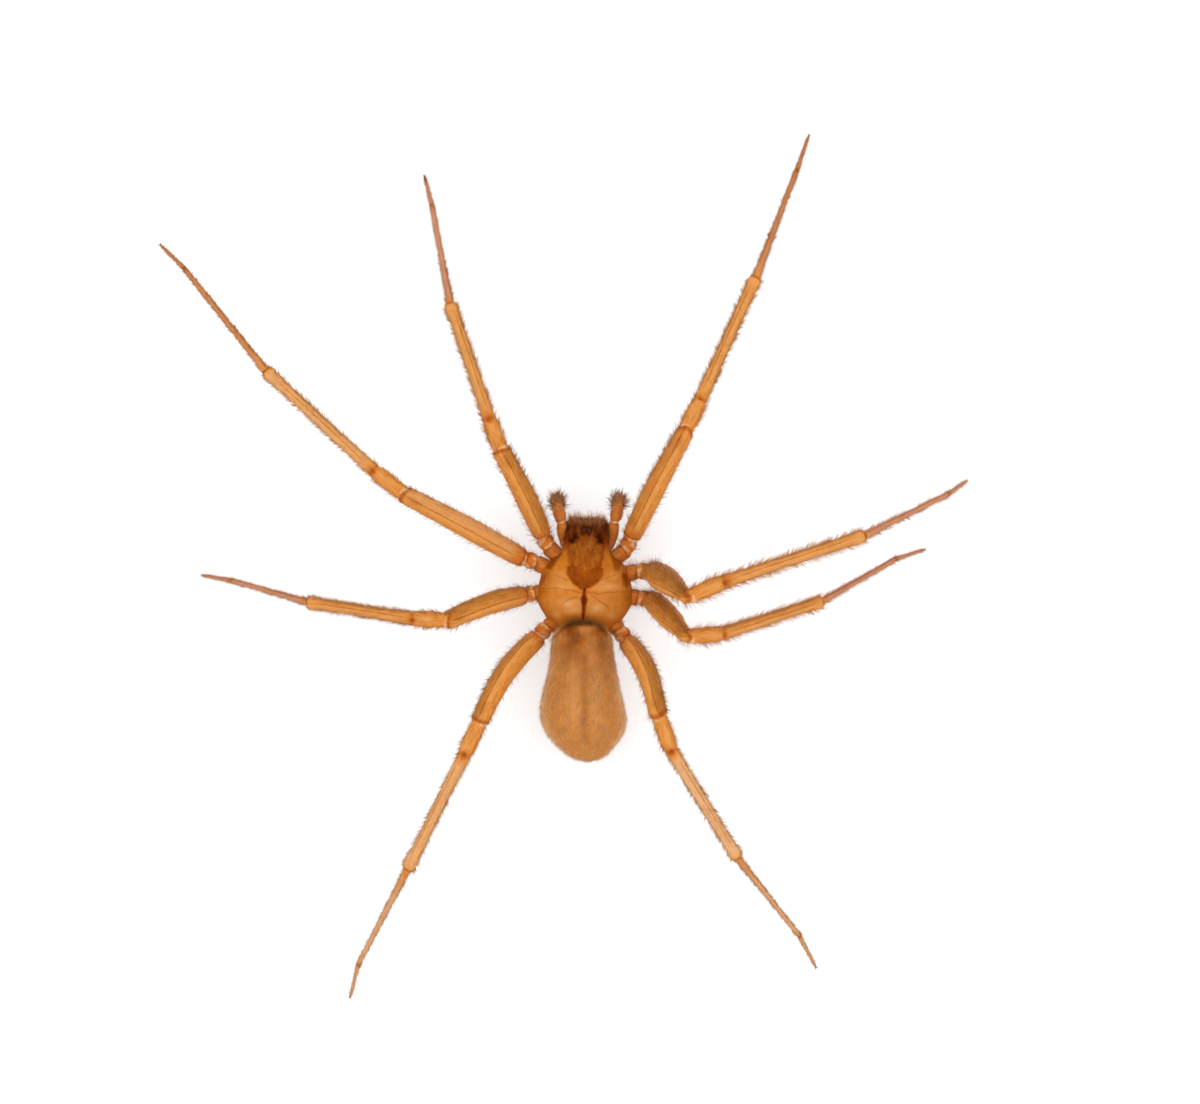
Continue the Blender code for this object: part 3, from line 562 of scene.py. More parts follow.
# The finish of a skin: its colour, a sheen that is rougher on dark places, a fine grain
# in relief, and a little light let through.
def shellFinish(name, look):
    made, shader, start = newFinish(name)
    colour, streaks, dark = paintShell(start, look)
    rough = look["roughness"] + (streaks - 0.5) * 0.2 + dark * 0.05
    lie = start.mark("lie", 1)
    grain = lie.noise(look["grainScale"], 2.0, 0.6)
    height = grain + streaks * look["streakHeight"]
    relief = {"Height": height, "Strength": look["bump"], "Distance": 0.02 * mm}
    sockets = {
        "Base Color": colour,
        "Roughness": rough,
        "Normal": start.add("ShaderNodeBump", {}, relief),
        "Specular IOR Level": look["gloss"],
        "Coat Weight": look["coat"],
        "Coat Roughness": 0.25,
        "Subsurface Weight": look["glow"],
        "Subsurface Radius": (1.0, 0.42, 0.12),
        "Subsurface Scale": 0.12 * mm,
    }
    start.feed(shader, sockets)
    return made


# Hair takes the colour of the skin under it, turned towards its own tones by how bold it
# is: one at the root, another towards the tip.
def hairFinish(name, look, hair):
    made, shader, start = newFinish(name)
    colour, _, dark = paintShell(start, look)
    reach, chance, bold = (start.mark(name) for name in ("reach", "chance", "bold"))
    own = bold * (1 - dark * hair["followsDark"])
    colour = colour.towards(hair["root"], (own * hair["strength"]).clamped())
    tipped = (reach * hair["tipShare"] + (chance - 0.5) * 0.3) * own
    colour = colour.towards(hair["tip"], tipped.clamped())
    rough = 0.45 + chance * 0.2
    start.feed(shader, {"Base Color": colour, "Roughness": rough, "Specular IOR Level": 0.03})
    return made


# The values that every look starts from, with its own changes.
def plainLook(**changes):
    look = {
        "base": colourOf(216, 138, 64),
        "second": colourOf(196, 110, 36),
        "other": colourOf(150, 92, 26),
        "speckColour": colourOf(120, 58, 14),
        "streakScale": (3.0, 3.0, 3.0),
        "speckScale": 26.0,
        "grainScale": 34.0,
        "mottle": 0.6,
        "specks": 0.25,
        "roughness": 0.46,
        "gloss": 0.12,
        "coat": 0.0,
        "bump": 0.35,
        "streakHeight": 0.6,
        "glow": 0.0,
    }
    look.update(changes)
    return look


# Stations from the front margin to the rear one: place along Y, half width, top, rim.
carapaceStations = (
    (2.53, 0.67, 2.33, 2.14),
    (2.44, 0.78, 2.46, 2.12),
    (2.22, 0.81, 2.61, 2.10),
    (1.90, 0.83, 2.76, 2.08),
    (1.55, 0.88, 2.88, 2.06),
    (1.30, 1.00, 2.94, 2.05),
    (1.05, 1.36, 2.98, 2.04),
    (0.75, 1.58, 3.02, 2.04),
    (0.35, 1.69, 3.04, 2.05),
    (0.00, 1.76, 3.04, 2.05),
    (-0.37, 1.79, 3.01, 2.05),
    (-0.78, 1.60, 2.88, 2.04),
    (-1.15, 1.32, 2.66, 2.03),
    (-1.45, 0.95, 2.40, 2.02),
    (-1.62, 0.55, 2.18, 2.00),
)
# The core under it: place along Y, half width, lowest height.
coreStations = (
    (2.52, 0.42, 2.06),
    (2.10, 0.60, 1.96),
    (1.70, 0.62, 1.72),
    (1.20, 0.62, 1.50),
    (0.40, 0.72, 1.48),
    (-0.40, 0.74, 1.48),
    (-1.10, 0.56, 1.52),
    (-1.45, 0.40, 1.68),
    (-1.62, 0.30, 1.86),
)
carapaceSettings = {
    "rings": 230,
    "acrossTop": 184,
    "acrossUnder": 30,
    "foveaDepth": 0.11,
    "neckDepth": 0.05,
    "neckWidth": 0.17,
    "neckEnd": (0.92, 1.35),
    "grooveDepth": 0.012,
    "rimBead": 0.012,
    "eyeMound": 0.030,
    "capLength": 0.05,
    # painted highlights: paler patches standing in for sheen on the plates; place, half sizes, strength
    "lights": (
        (-0.56, -0.50, 0.40, 0.16, 0.30), (-0.36, -0.76, 0.32, 0.15, 0.30), (0.44, -0.66, 0.28, 0.26, 0.32),
        (-0.92, 0.50, 0.30, 0.20, 0.12), (-0.84, 0.10, 0.46, 0.12, 0.20), (0.80, 0.16, 0.50, 0.16, 0.26),
        (1.02, 0.56, 0.18, 0.14, 0.22), (-0.18, -0.36, 0.10, 0.22, 0.20), (0.12, -0.36, 0.10, 0.22, 0.20),
        (-1.00, -0.95, 0.20, 0.16, 0.16), (1.02, -0.92, 0.22, 0.18, 0.18),
    ),
}
eyePlaces = {
    "eye_median_left": (-0.100, 2.19),
    "eye_median_right": (0.100, 2.19),
    "eye_front_side_left": (-0.425, 1.94),
    "eye_front_side_right": (0.440, 1.98),
    "eye_rear_side_left": (-0.515, 1.80),
    "eye_rear_side_right": (0.520, 1.84),
}
# The dark heart behind the head with a darker vee in it, and the streaked crown before it.
heartOutline = (
    (-0.68, 0.84), (-0.72, 0.62), (-0.60, 0.38), (-0.32, 0.13), (-0.04, -0.03), (0.20, 0.10), (0.50, 0.30),
    (0.66, 0.55), (0.66, 0.80), (0.47, 0.93), (0.24, 0.86), (0.00, 0.78), (-0.24, 0.86), (-0.50, 0.93),
)
veeOutline = ((-0.56, 0.50), (-0.06, -0.08), (0.46, 0.42), (0.16, 0.30), (-0.03, 0.12), (-0.26, 0.34))
crownOutline = ((-0.72, 1.75), (-0.68, 1.20), (-0.62, 0.80), (0.60, 0.82), (0.66, 1.22), (0.70, 1.78))
# Dark wedges inside the rim: softness, strength, corners.
rimWedges = (
    (0.06, 1.0, ((-0.98, 1.50), (-1.24, 1.16), (-1.46, 0.80), (-1.28, 0.70), (-1.10, 0.98), (-0.94, 1.30))),
    (0.06, 1.0, ((0.88, 1.50), (1.12, 1.32), (1.32, 0.98), (1.20, 0.72), (1.08, 0.78), (0.96, 1.12))),
    (0.06, 0.9, ((1.34, 0.68), (1.52, 0.64), (1.62, 0.34), (1.54, 0.12), (1.38, 0.18))),
    (0.07, 0.6, ((-1.46, 0.56), (-1.64, 0.48), (-1.72, 0.14), (-1.54, 0.20))),
)
# The dark groove of the back and the thin lines that leave it: corners, then half widths.
foveaLine = (
    ((0.01, 0.05), (-0.01, -0.14), (-0.03, -0.34), (-0.04, -0.58), (-0.04, -0.80), (-0.05, -1.15)),
    (0.032, 0.066, 0.158, 0.052, 0.056, 0.048),
)
radialLines = (
    (
        ((-0.09, -0.11), (-0.40, -0.04), (-0.76, -0.02), (-1.01, 0.05), (-1.62, 0.00)),
        (0.030, 0.026, 0.024, 0.022, 0.010),
    ),
    (
        ((0.07, -0.07), (0.50, -0.13), (0.89, -0.05), (1.40, -0.03), (1.64, 0.00)),
        (0.030, 0.026, 0.024, 0.022, 0.010),
    ),
    (
        ((-0.22, -0.26), (-0.40, -0.30), (-0.58, -0.36), (-0.76, -0.46), (-0.90, -0.62)),
        (0.010, 0.028, 0.030, 0.026, 0.012),
    ),
    (
        ((0.24, -0.20), (0.42, -0.28), (0.58, -0.43), (0.79, -0.53), (0.92, -0.74)),
        (0.010, 0.028, 0.030, 0.026, 0.012),
    ),
    (((-1.10, 0.52), (-0.94, 0.46), (-0.64, 0.33)), (0.012, 0.028, 0.020)),
    (((1.24, 0.68), (1.11, 0.60), (0.86, 0.50), (0.62, 0.39)), (0.012, 0.028, 0.024, 0.020)),
)


# Height of the carapace: a dome that falls from its top to the rim as one minus a power
# of the share across, squarer at the head, less the fovea and the grooves.
def carapaceHeight(x, y):
    s = carapaceSettings
    half, top, rim = (fromTable(carapaceStations, column, y) for column in (1, 2, 3))
    across = np.clip(np.abs(x) / half, 0, 1)
    headness = np.clip((y - 0.9) / 0.7, 0, 1)
    lift = (1 - across ** (2.1 + 1.1 * headness)) ** (0.78 - 0.22 * headness)
    height = rim + (top - rim) * lift
    share = np.clip((y + 1.10) / 1.08, 0, 1)
    fovea = np.sin(math.pi * share) ** 0.5 * bell(x, 0, 0.075)
    endX, endY = s["neckEnd"]
    share = np.clip((y - 0.1) / (endY - 0.1), 0, 1)
    far = np.abs(np.abs(x) - share * endX) * endY / math.hypot(endX, endY)
    neck = np.sin(math.pi * share) ** 0.5 * bell(far, 0, s["neckWidth"])
    height = height - s["foveaDepth"] * fovea - s["neckDepth"] * neck
    for corners, widths in radialLines:
        height = height - s["grooveDepth"] * lineMask(x, y, corners, [w * 1.6 for w in widths])
    for eyeX, eyeY in eyePlaces.values():
        height = height + s["eyeMound"] * bell(np.hypot(x - eyeX, y - eyeY), 0, 0.13)
    bead = bell(across, 0.965, 0.022) * smoothStep(y, 1.9, 1.2)
    return height + s["rimBead"] * bead


# Markings of the carapace at places of the body's axes: the heart, crown, brow, eyes,
# grooves and wedges are masks of their outlines, added up with waves for unevenness.
# The paler patches on the plates are painted highlights.
def carapaceMarks(x, y, z):
    wx = x + 0.018 * ripple(x, y, 9.0, 3)
    wy = y + 0.018 * ripple(x, y, 9.0, 4)
    half = fromTable(carapaceStations, 1, y)
    across = np.clip(np.abs(x) / half, 0, 1.2)
    heart = insideMask(wx, wy + 0.02 * ripple(x * 4, y, 8.0, 9), heartOutline, 0.06)
    vee = insideMask(wx, wy, veeOutline, 0.08)
    streak = np.clip(0.5 + 0.5 * ripple(x * 3.2, y, 8.0, 8), 0, 1)
    crown = np.maximum(insideMask(wx, wy, crownOutline, 0.07), smoothStep(y, 1.62, 1.80))
    sides = smoothStep(np.abs(x), 0.50, 0.68) * smoothStep(y, 1.30, 1.70)
    brow = smoothStep(y + 0.06 * ripple(x * 2.5, y, 9.0, 63), 1.96, 2.20)
    eyes = 0.0
    for eyeX, eyeY in eyePlaces.values():
        far = np.hypot(x - eyeX, (y - eyeY) * 0.85)
        eyes = np.maximum(eyes, np.exp(-((far / 0.24) ** 4)))
    far, wide = nearLine(wx, y, *foveaLine)
    fovea = np.exp(-((far / wide) ** 4))
    foveaRed = lineMask(x, y, ((-0.04, 0.0), (-0.05, -0.5), (-0.03, -1.2)), (0.05, 0.09, 0.13))
    lines = 0.0
    for corners, widths in radialLines:
        lines = np.maximum(lines, lineMask(wx * 0.5 + x * 0.5, wy * 0.5 + y * 0.5, corners, widths))
    margin = smoothStep(across, 0.86, 1.0) * smoothStep(y, 1.7, 1.0)
    edge = smoothStep(across + 0.08 * ripple(x, y, 5.0, 61), 0.70, 0.98) * smoothStep(y, 1.6, 1.1)
    # Painted highlights: paler patches where sheen would show on the plates.
    light = 0.0
    for lightX, lightY, wide, long, strength in carapaceSettings["lights"]:
        light = light + strength * np.exp(-(((wx - lightX) / wide) ** 2) - ((wy - lightY) / long) ** 2)
    mottle = ripple(x, y, 7.0, 62)
    wedges = 0.0
    for soft, strength, corners in rimWedges:
        wedges = np.maximum(wedges, strength * insideMask(wx, wy, corners, soft))
    rear = smoothStep(wy, -0.82, -1.10) * (0.45 + 0.55 * bell(x, 0, 0.55))
    dark = 0.31 * crown * (0.50 + 1.00 * streak)
    dark = np.maximum(dark, 0.58 * heart) + 0.14 * vee * heart
    dark = dark + 0.26 * sides + 0.38 * brow + 0.10 * smoothStep(y, 1.5, 1.9)
    dark = np.maximum(dark, eyes * smoothStep(y, 1.5, 1.8))
    dark = dark - 0.20 * heart * bell(x, 0, 0.20) * smoothStep(y, 0.30, 0.75)
    dark = dark + 0.24 * lines + 0.80 * fovea + 0.30 * wedges + 0.03 * margin
    dark = dark + 0.05 * edge * (1 + mottle) + 0.06 * rear
    dark = dark + 0.07 * np.clip(ripple(x, y, 2.6, 71) + 0.5 * mottle, 0, 1) * (1 - heart)
    red = 0.80 * brow + 0.45 * foveaRed + 0.50 * rear + 0.12 * margin + 0.22 * lines + 0.50 * sides
    plate = smoothStep(np.abs(y + 0.05), 0.95, 0.35) * smoothStep(across, 0.95, 0.55) * (1 - heart)
    pale = 0.08 * plate * smoothStep(np.abs(x), 0.1, 0.5) + light
    return {
        "dark": np.clip(dark, 0, 1),
        "red": np.clip(red, 0, 1),
        "pale": np.clip(pale * (1 - heart) * (1 + 0.25 * mottle), 0, 1),
        "other": np.clip(0.55 * wedges + 0.45 * edge + 0.25 * crown, 0, 1),
        "lie": np.stack(np.broadcast_arrays(x, y, z), -1),
    }


# Cross sections one after another: over the dome from one rim to the other, then down
# the side, under the core and back up. At both ends the sections shrink to a point.
def carapaceSkin():
    s = carapaceSettings
    front, rear = carapaceStations[0][0], carapaceStations[-1][0]
    y = np.linspace(front, rear, s["rings"])[:, None]
    half = fromTable(carapaceStations, 1, y)
    rim = fromTable(carapaceStations, 3, y)
    core = fromTable(coreStations, 1, y)
    bottom = fromTable(coreStations, 2, y)
    t = np.linspace(-1, 1, s["acrossTop"])[None, :]
    share = 0.42 * t + 0.58 * np.sin(t * math.pi / 2)
    x = half * share
    upper = np.stack([x, np.broadcast_to(y, x.shape), carapaceHeight(x, y)], -1)
    depth = rim - bottom
    under = rim - np.minimum(0.14, 0.5 * depth)
    wall = [
        (half, rim - 0.01 * depth),
        (half * 0.975, rim - np.minimum(0.09, 0.3 * depth)),
        (np.minimum(half * 0.93, np.maximum(core + 0.10, half * 0.72)), under),
        (core + 0.02, under - np.minimum(0.02, 0.1 * depth)),
        (core, (under + bottom) / 2),
        (core * 0.92, bottom + 0.1 * (under - bottom)),
        (core * 0.55, bottom),
        (core * 0.0, bottom),
    ]
    wallX, wallZ = (np.concatenate([row[k] for row in wall], 1) for k in (0, 1))
    at = np.linspace(0.25, len(wall) - 1, s["acrossUnder"])
    low = np.minimum(at.astype(int), len(wall) - 2)
    mix = at - low
    rightX = wallX[:, low] * (1 - mix) + wallX[:, low + 1] * mix
    rightZ = wallZ[:, low] * (1 - mix) + wallZ[:, low + 1] * mix
    right = np.stack([rightX, np.broadcast_to(y, rightX.shape), rightZ], -1)
    left = right[:, -2::-1] * (-1, 1, 1)
    loop = np.concatenate([upper, right, left], 1)
    soft = loop.copy()
    for _ in range(3):
        soft = (np.roll(soft, 1, 1) + 2 * soft + np.roll(soft, -1, 1)) / 4
    keep = np.zeros(loop.shape[1])
    keep[3 : s["acrossTop"] - 3] = 1
    loop = loop * keep[None, :, None] + soft * (1 - keep[None, :, None])
    turn = np.linspace(0, math.pi / 2, 9)[1:-1]
    caps = []
    for ring, way in ((loop[0], 1), (loop[-1], -1)):
        middle = ring.mean(0)
        shrunk = middle + (ring - middle)[None] * np.cos(turn)[:, None, None] ** 0.8
        shrunk[..., 1] += way * s["capLength"] * np.sin(turn)[:, None]
        caps.append(shrunk)
    grid = np.concatenate([caps[0][::-1], loop, caps[1]])
    marks = carapaceMarks(grid[..., 0], grid[..., 1], grid[..., 2])
    below = smoothStep(grid[..., 2], 2.02, 1.85)
    for name, value in (("dark", 0.12), ("red", 0.25), ("pale", 0.0), ("other", 0.2)):
        marks[name] = marks[name] * (1 - below) + value * below
    return skinOf(fromBody(grid), marks)


carapaceLook = plainLook(
    base=colourOf(222, 135, 42),
    second=colourOf(204, 112, 22),
    other=colourOf(174, 88, 4),
    speckColour=colourOf(142, 66, 10),
    streakScale=(6.0, 3.0, 3.0),
    specks=0.30,
    roughness=0.36,
    gloss=0.03,
    bump=0.6,
    glow=0.2,
)


# Place along Y and half width, labium first; heights of its top, edge and belly.
sternumSettings = {
    "stations": (
        (1.58, 0.10), (1.48, 0.20), (1.22, 0.25), (1.08, 0.46), (0.80, 0.58),
        (0.30, 0.64), (-0.30, 0.60), (-0.80, 0.42), (-1.12, 0.16),
    ),
    "top": 1.43,
    "edge": 1.38,
    "belly": 1.25,
}


# An outline that closes at both ends: flat above as the root of the sine round it, and
# crowned downwards as its power of one and a half.
def sternumSkin():
    s = sternumSettings
    front, rear = s["stations"][0][0], s["stations"][-1][0]
    t = (1 - np.cos(np.linspace(0.02, 0.98, 70) * math.pi)) / 2
    y = (front + (rear - front) * t)[:, None]
    half = fromTable(s["stations"], 1, y) * np.minimum(1, np.sin(t * math.pi)[:, None] * 6) ** 0.5
    turn = np.linspace(0, 2 * math.pi, 56, endpoint=False)[None, :]
    x = half * np.cos(turn)
    crown = (s["edge"] - s["belly"]) * np.minimum(1.0, half / 0.5)
    rise = np.abs(np.sin(turn))
    above = s["edge"] + (s["top"] - s["edge"]) * rise**0.5
    z = np.where(np.sin(turn) > 0, above, s["edge"] - crown * rise**1.5)
    z = z + 0.03 * bell(y, 1.20, 0.035) * (np.sin(turn) < 0)  # the seam behind the labium
    grid = np.stack(np.broadcast_arrays(x, y, z), -1)
    rim = np.abs(x) / half
    marks = {
        "dark": 0.10 + 0.25 * smoothStep(rim, 0.75, 1.0) + 0.35 * smoothStep(y, 1.15, 1.3),
        "red": 0.15,
        "pale": 0.0,
        "other": 0.25 * smoothStep(rim, 0.5, 1.0),
        "lie": grid,
    }
    return skinOf(fromBody(grid), marks)


# Place along Y, half width, centre X, centre Z, half height.
abdomenStations = (
    (-1.155, 0.00, -0.17, 2.92, 0.00),
    (-1.46, 0.92, -0.18, 2.78, 0.66),
    (-1.70, 1.06, -0.19, 2.66, 0.86),
    (-2.39, 1.15, -0.18, 2.46, 1.02),
    (-3.06, 1.26, -0.17, 2.33, 1.16),
    (-3.74, 1.41, -0.19, 2.22, 1.27),
    (-4.41, 1.55, -0.17, 2.13, 1.31),
    (-4.85, 1.56, -0.12, 2.06, 1.27),
    (-5.22, 1.44, -0.09, 1.99, 1.16),
    (-5.41, 1.34, -0.08, 1.96, 1.08),
    (-5.85, 0.98, -0.03, 1.88, 0.78),
    (-6.16, 0.62, 0.01, 1.82, 0.47),
    (-6.325, 0.00, 0.01, 1.78, 0.00),
)
abdomenSettings = {"rings": 170, "around": 180, "unevenness": 0.010}


# The dark arc on the abdomen's front edge, dark hair colour with painted shade where the
# abdomen meets the carapace: corners, then half widths.
frontArc = (
    (
        (-1.16, -1.70), (-0.90, -1.38), (-0.52, -1.17), (-0.18, -1.12),
        (0.20, -1.16), (0.52, -1.34), (0.76, -1.62),
    ),
    (0.06, 0.09, 0.11, 0.12, 0.13, 0.12, 0.08),
)


# Markings of the abdomen: the arc, partly painted shade, a shade behind it, a faint line along
# the back with paler ground beside it, soft chevrons behind, and a pale flank, which is
# painted light against the shade on the flanks.
def abdomenMarks(x, y, z, side):
    wx = x + 0.03 * ripple(x, y, 4.0, 21)
    wy = y + 0.03 * ripple(x, y, 4.0, 22)
    onTop = smoothStep(z, 1.9, 2.5)
    # The arc is partly painted shade, where the abdomen's front meets the carapace.
    arc = lineMask(wx, wy, *frontArc) * np.clip(0.75 + 0.35 * ripple(x, y, 12.0, 51), 0.3, 1.0)
    frontShade = smoothStep(y, -3.7, -1.3) * onTop * (1 - 0.60 * smoothStep(np.abs(wx + 0.15), 0.45, 1.0))
    middle = bell(wx, -0.08, 0.13) * smoothStep(y, -5.9, -5.2) * smoothStep(y, -2.0, -4.2)
    middle = middle * (0.875 + 0.125 * np.sin(wy * 5.2))
    pairs = bell(np.abs(wx + 0.10), 0.42, 0.26) * smoothStep(y, -5.6, -4.6) * smoothStep(y, -2.3, -3.2)
    chevrons = (0.5 + 0.5 * np.sin(wy * 9.0 + np.abs(wx + 0.1) * 5.0)) * smoothStep(y, -3.4, -4.6)
    blotch = 0.5 + 0.5 * ripple(x, y, 2.6, 31)
    cloud = np.clip(0.5 + 0.8 * ripple(x, y, 5.5, 32), 0, 1)
    patches = (0.20 * blotch + 0.26 * cloud) * smoothStep(y, -5.2, -3.0)
    dark = 0.42 * arc + 0.48 * frontShade * (0.3 + 0.7 * blotch + 0.6 * cloud) + 0.05 * middle
    # The flank term is painted light: the flanks are made paler to offset the shade on them.
    pale = 0.20 * pairs * onTop + 0.64 * smoothStep(np.sin(side), 0.80, 0.15)
    return {
        "dark": np.clip(dark, 0, 1),
        "red": 0.06 * frontShade,
        "pale": np.clip(pale, 0, 1),
        "other": np.clip((0.44 * middle + 0.10 * chevrons + patches) * onTop + 0.9 * arc, 0, 1),
        "lie": np.stack(np.broadcast_arrays(x, y, z), -1),
    }


# Ellipses of the stations' half widths and heights, whose squares run smoothly to nothing
# at both ends, with a slight unevenness.
def abdomenSkin():
    s = abdomenSettings
    front, rear = abdomenStations[0][0], abdomenStations[-1][0]
    share = np.linspace(0, 1, s["rings"] + 2)[1:-1, None]
    y = front + (rear - front) * (1 - np.cos(math.pi * share)) / 2
    squares = [(row[0], row[1] ** 2, row[4] ** 2) for row in abdomenStations]
    wide, high = (np.sqrt(np.maximum(fromTable(squares, k, y), 1e-5)) for k in (1, 2))
    wide, high, centre = (smoothed(row, 16) for row in (wide, high, fromTable(abdomenStations, 2, y)))
    middle = fromTable(abdomenStations, 3, y)
    turn = np.linspace(0, 2 * math.pi, s["around"], endpoint=False)[None, :]
    x = centre + wide * np.cos(turn)
    z = middle + high * np.sin(turn)
    swell = 1 + s["unevenness"] * ripple(x + z, y, 2.4, 12) * np.sin(math.pi * share)
    x = x * swell + (1 - swell) * centre
    z = z * swell + (1 - swell) * middle
    grid = np.stack(np.broadcast_arrays(x, y, z), -1)
    return skinOf(grid, abdomenMarks(grid[..., 0], grid[..., 1], grid[..., 2], turn))


abdomenLook = plainLook(
    base=colourOf(236, 156, 78),
    second=colourOf(220, 136, 54),
    other=colourOf(158, 88, 22),
    speckColour=colourOf(160, 98, 40),
    streakScale=(3.2, 2.4, 3.2),
    speckScale=30.0,
    grainScale=42.0,
    specks=0.30,
    mottle=0.7,
    roughness=0.62,
    gloss=0.04,
    bump=0.5,
    glow=0.15,
)

plainMarks = {"dark": 0.1, "red": 0.2, "pale": 0.0, "other": 0.2}


# A piece along a smooth path of few points, its widths given by share of its length. It
# closes with a round end where roundEnds says so.
def limbSkin(path, widths, side, rings, around, depthRatio=1.0, marks=None, roundEnds=(False, True)):
    path = np.asarray(path, float)
    chord = lengthsAlong(path)
    share = np.linspace(0, 1, rings)
    centres = through(chord, path, share * chord[-1])
    half = smoothed(np.interp(share, [w[0] for w in widths], [w[1] for w in widths]) / 2, 3)
    travelled = lengthsAlong(centres)
    for isRound, far in zip(roundEnds, (travelled, travelled[-1] - travelled)):
        if isRound:
            reach = np.clip(far / np.maximum(half, 1e-6), 0, 1)
            half = half * np.sqrt(np.maximum(1 - (1 - reach) ** 2, 0.0004))
    grid = sweep(centres, half, half * depthRatio, side, around)
    own = marks(share[:, None], np.arange(around)[None] / around) if marks else {}
    return skinOf(grid, {**plainMarks, **own, "lie": grid})


spinneretSettings = {
    "core": ((-0.05, -5.36, 1.04), (-0.05, -5.72, 0.94)),
    "coreWidths": ((0, 0.70), (0.6, 0.68), (1, 0.56)),
    "rootY": -5.50,
    # place across, height, length, width, degrees outwards and downwards
    "pairs": (
        (0.19, 0.94, 0.60, 0.24, 8, 6),
        (0.08, 1.03, 0.50, 0.13, 4, -6),
        (0.27, 1.05, 0.48, 0.16, 14, -8),
    ),
    # share of the length, share of the width
    "widths": ((0, 1), (0.55, 0.97), (0.62, 0.84), (0.68, 0.90), (1, 0.5)),
}


# The base that carries the spinnerets, and three short limbs on each side of it, each
# with a narrow joint past its middle.
def spinneretSurfaces():
    s = spinneretSettings
    made = [surfaceOf(limbSkin(s["core"], s["coreWidths"], (1, 0, 0), 14, 30, 0.62))]
    for sign in (-1, 1):
        for x, z, length, width, outward, downward in s["pairs"]:
            outward, downward = math.radians(outward), math.radians(downward)
            aim = unit((sign * math.sin(outward), -1.0, -math.sin(downward)))
            start = np.array([sign * x - 0.05, s["rootY"], z])
            widths = [(share, width * part) for share, part in s["widths"]]
            made.append(surfaceOf(limbSkin((start, start + aim * length), widths, (1, 0, 0), 24, 18)))
    return made


mouthSettings = {
    "chelicera": ((0.30, 2.06, 2.22), (0.30, 2.33, 1.92), (0.30, 2.38, 1.50), (0.27, 2.34, 1.06)),
    "cheliceraWidths": ((0, 0.46), (0.25, 0.52), (0.55, 0.52), (0.85, 0.44), (1, 0.36)),
    "fang": ((0.26, 2.34, 1.01), (0.25, 2.32, 0.86), (0.17, 2.22, 0.76), (0.07, 2.10, 0.78)),
    "fangWidths": ((0, 0.20), (0.35, 0.17), (0.75, 0.10), (1.0, 0.03)),
    "endite": ((0.66, 1.30, 1.62), (0.50, 1.56, 1.56), (0.27, 1.84, 1.50)),
    "enditeWidths": ((0, 0.34), (0.4, 0.40), (0.8, 0.34), (1, 0.22)),
}
# The palps' paths, their widths by share of the length, and their markings: pale skin at
# two joints, a dark rim before each, and a darker last length.
palpPaths = {
    "left": (
        (-0.62, 1.45, 1.82), (-0.84, 1.86, 1.90), (-0.95, 2.54, 2.36),
        (-1.01, 2.79, 2.34), (-1.06, 3.00, 2.10), (-1.13, 3.49, 1.30),
    ),
    "right": (
        (0.66, 1.48, 1.82), (0.91, 1.88, 1.90), (1.02, 2.54, 2.36),
        (1.08, 2.77, 2.34), (1.13, 3.00, 2.10), (1.19, 3.51, 1.30),
    ),
}
palpWidths = (
    (0, 0.40), (0.12, 0.43), (0.16, 0.40), (0.175, 0.34), (0.19, 0.38), (0.30, 0.40), (0.40, 0.37),
    (0.435, 0.34), (0.448, 0.27), (0.462, 0.32), (0.50, 0.41), (0.56, 0.46), (0.63, 0.46), (0.662, 0.40),
    (0.684, 0.31), (0.70, 0.38), (0.76, 0.47), (0.84, 0.45), (0.92, 0.38), (1.0, 0.24),
)


def palpMarks(share, around):
    turn = around * 2 * math.pi
    lean = 0.006 * np.cos(turn)
    bands = bell(share - 0.452, lean, 0.009 + lean) + 0.7 * bell(share, 0.686, 0.009)
    rims = bell(share, 0.434, 0.010) + bell(share, 0.668, 0.012)
    tarsus = smoothStep(share, 0.69, 0.73)
    dark = 0.02 + 0.17 * tarsus + 0.24 * rims + 0.08 * smoothStep(share, 0.46, 0.55)
    return {
        "dark": np.clip(dark * (1 - 0.75 * np.clip(bands, 0, 1)), 0, 1),
        "red": 0.05 + 0.25 * rims,
        "pale": np.clip(0.60 * bands * (0.5 + 0.5 * np.sin(turn)) ** 3 + 0.18 * tarsus, 0, 1),
        "other": 0.25,
    }


# Lengths by pair: femur, patella, tibia, metatarsus, tarsus.
legLengths = {
    1: (4.70, 1.31, 5.28, 4.60, 1.45),
    2: (5.35, 1.41, 5.90, 5.30, 1.35),
    3: (4.03, 1.36, 4.34, 4.02, 1.43),
    4: (4.56, 1.36, 5.15, 4.74, 1.55),
}
coxaRoots = {1: (0.60, 0.95, 1.80), 2: (0.62, 0.35, 1.80), 3: (0.62, -0.30, 1.80), 4: (0.52, -0.92, 1.80)}
foldedLegs = ((2, "right"), (3, "right"))
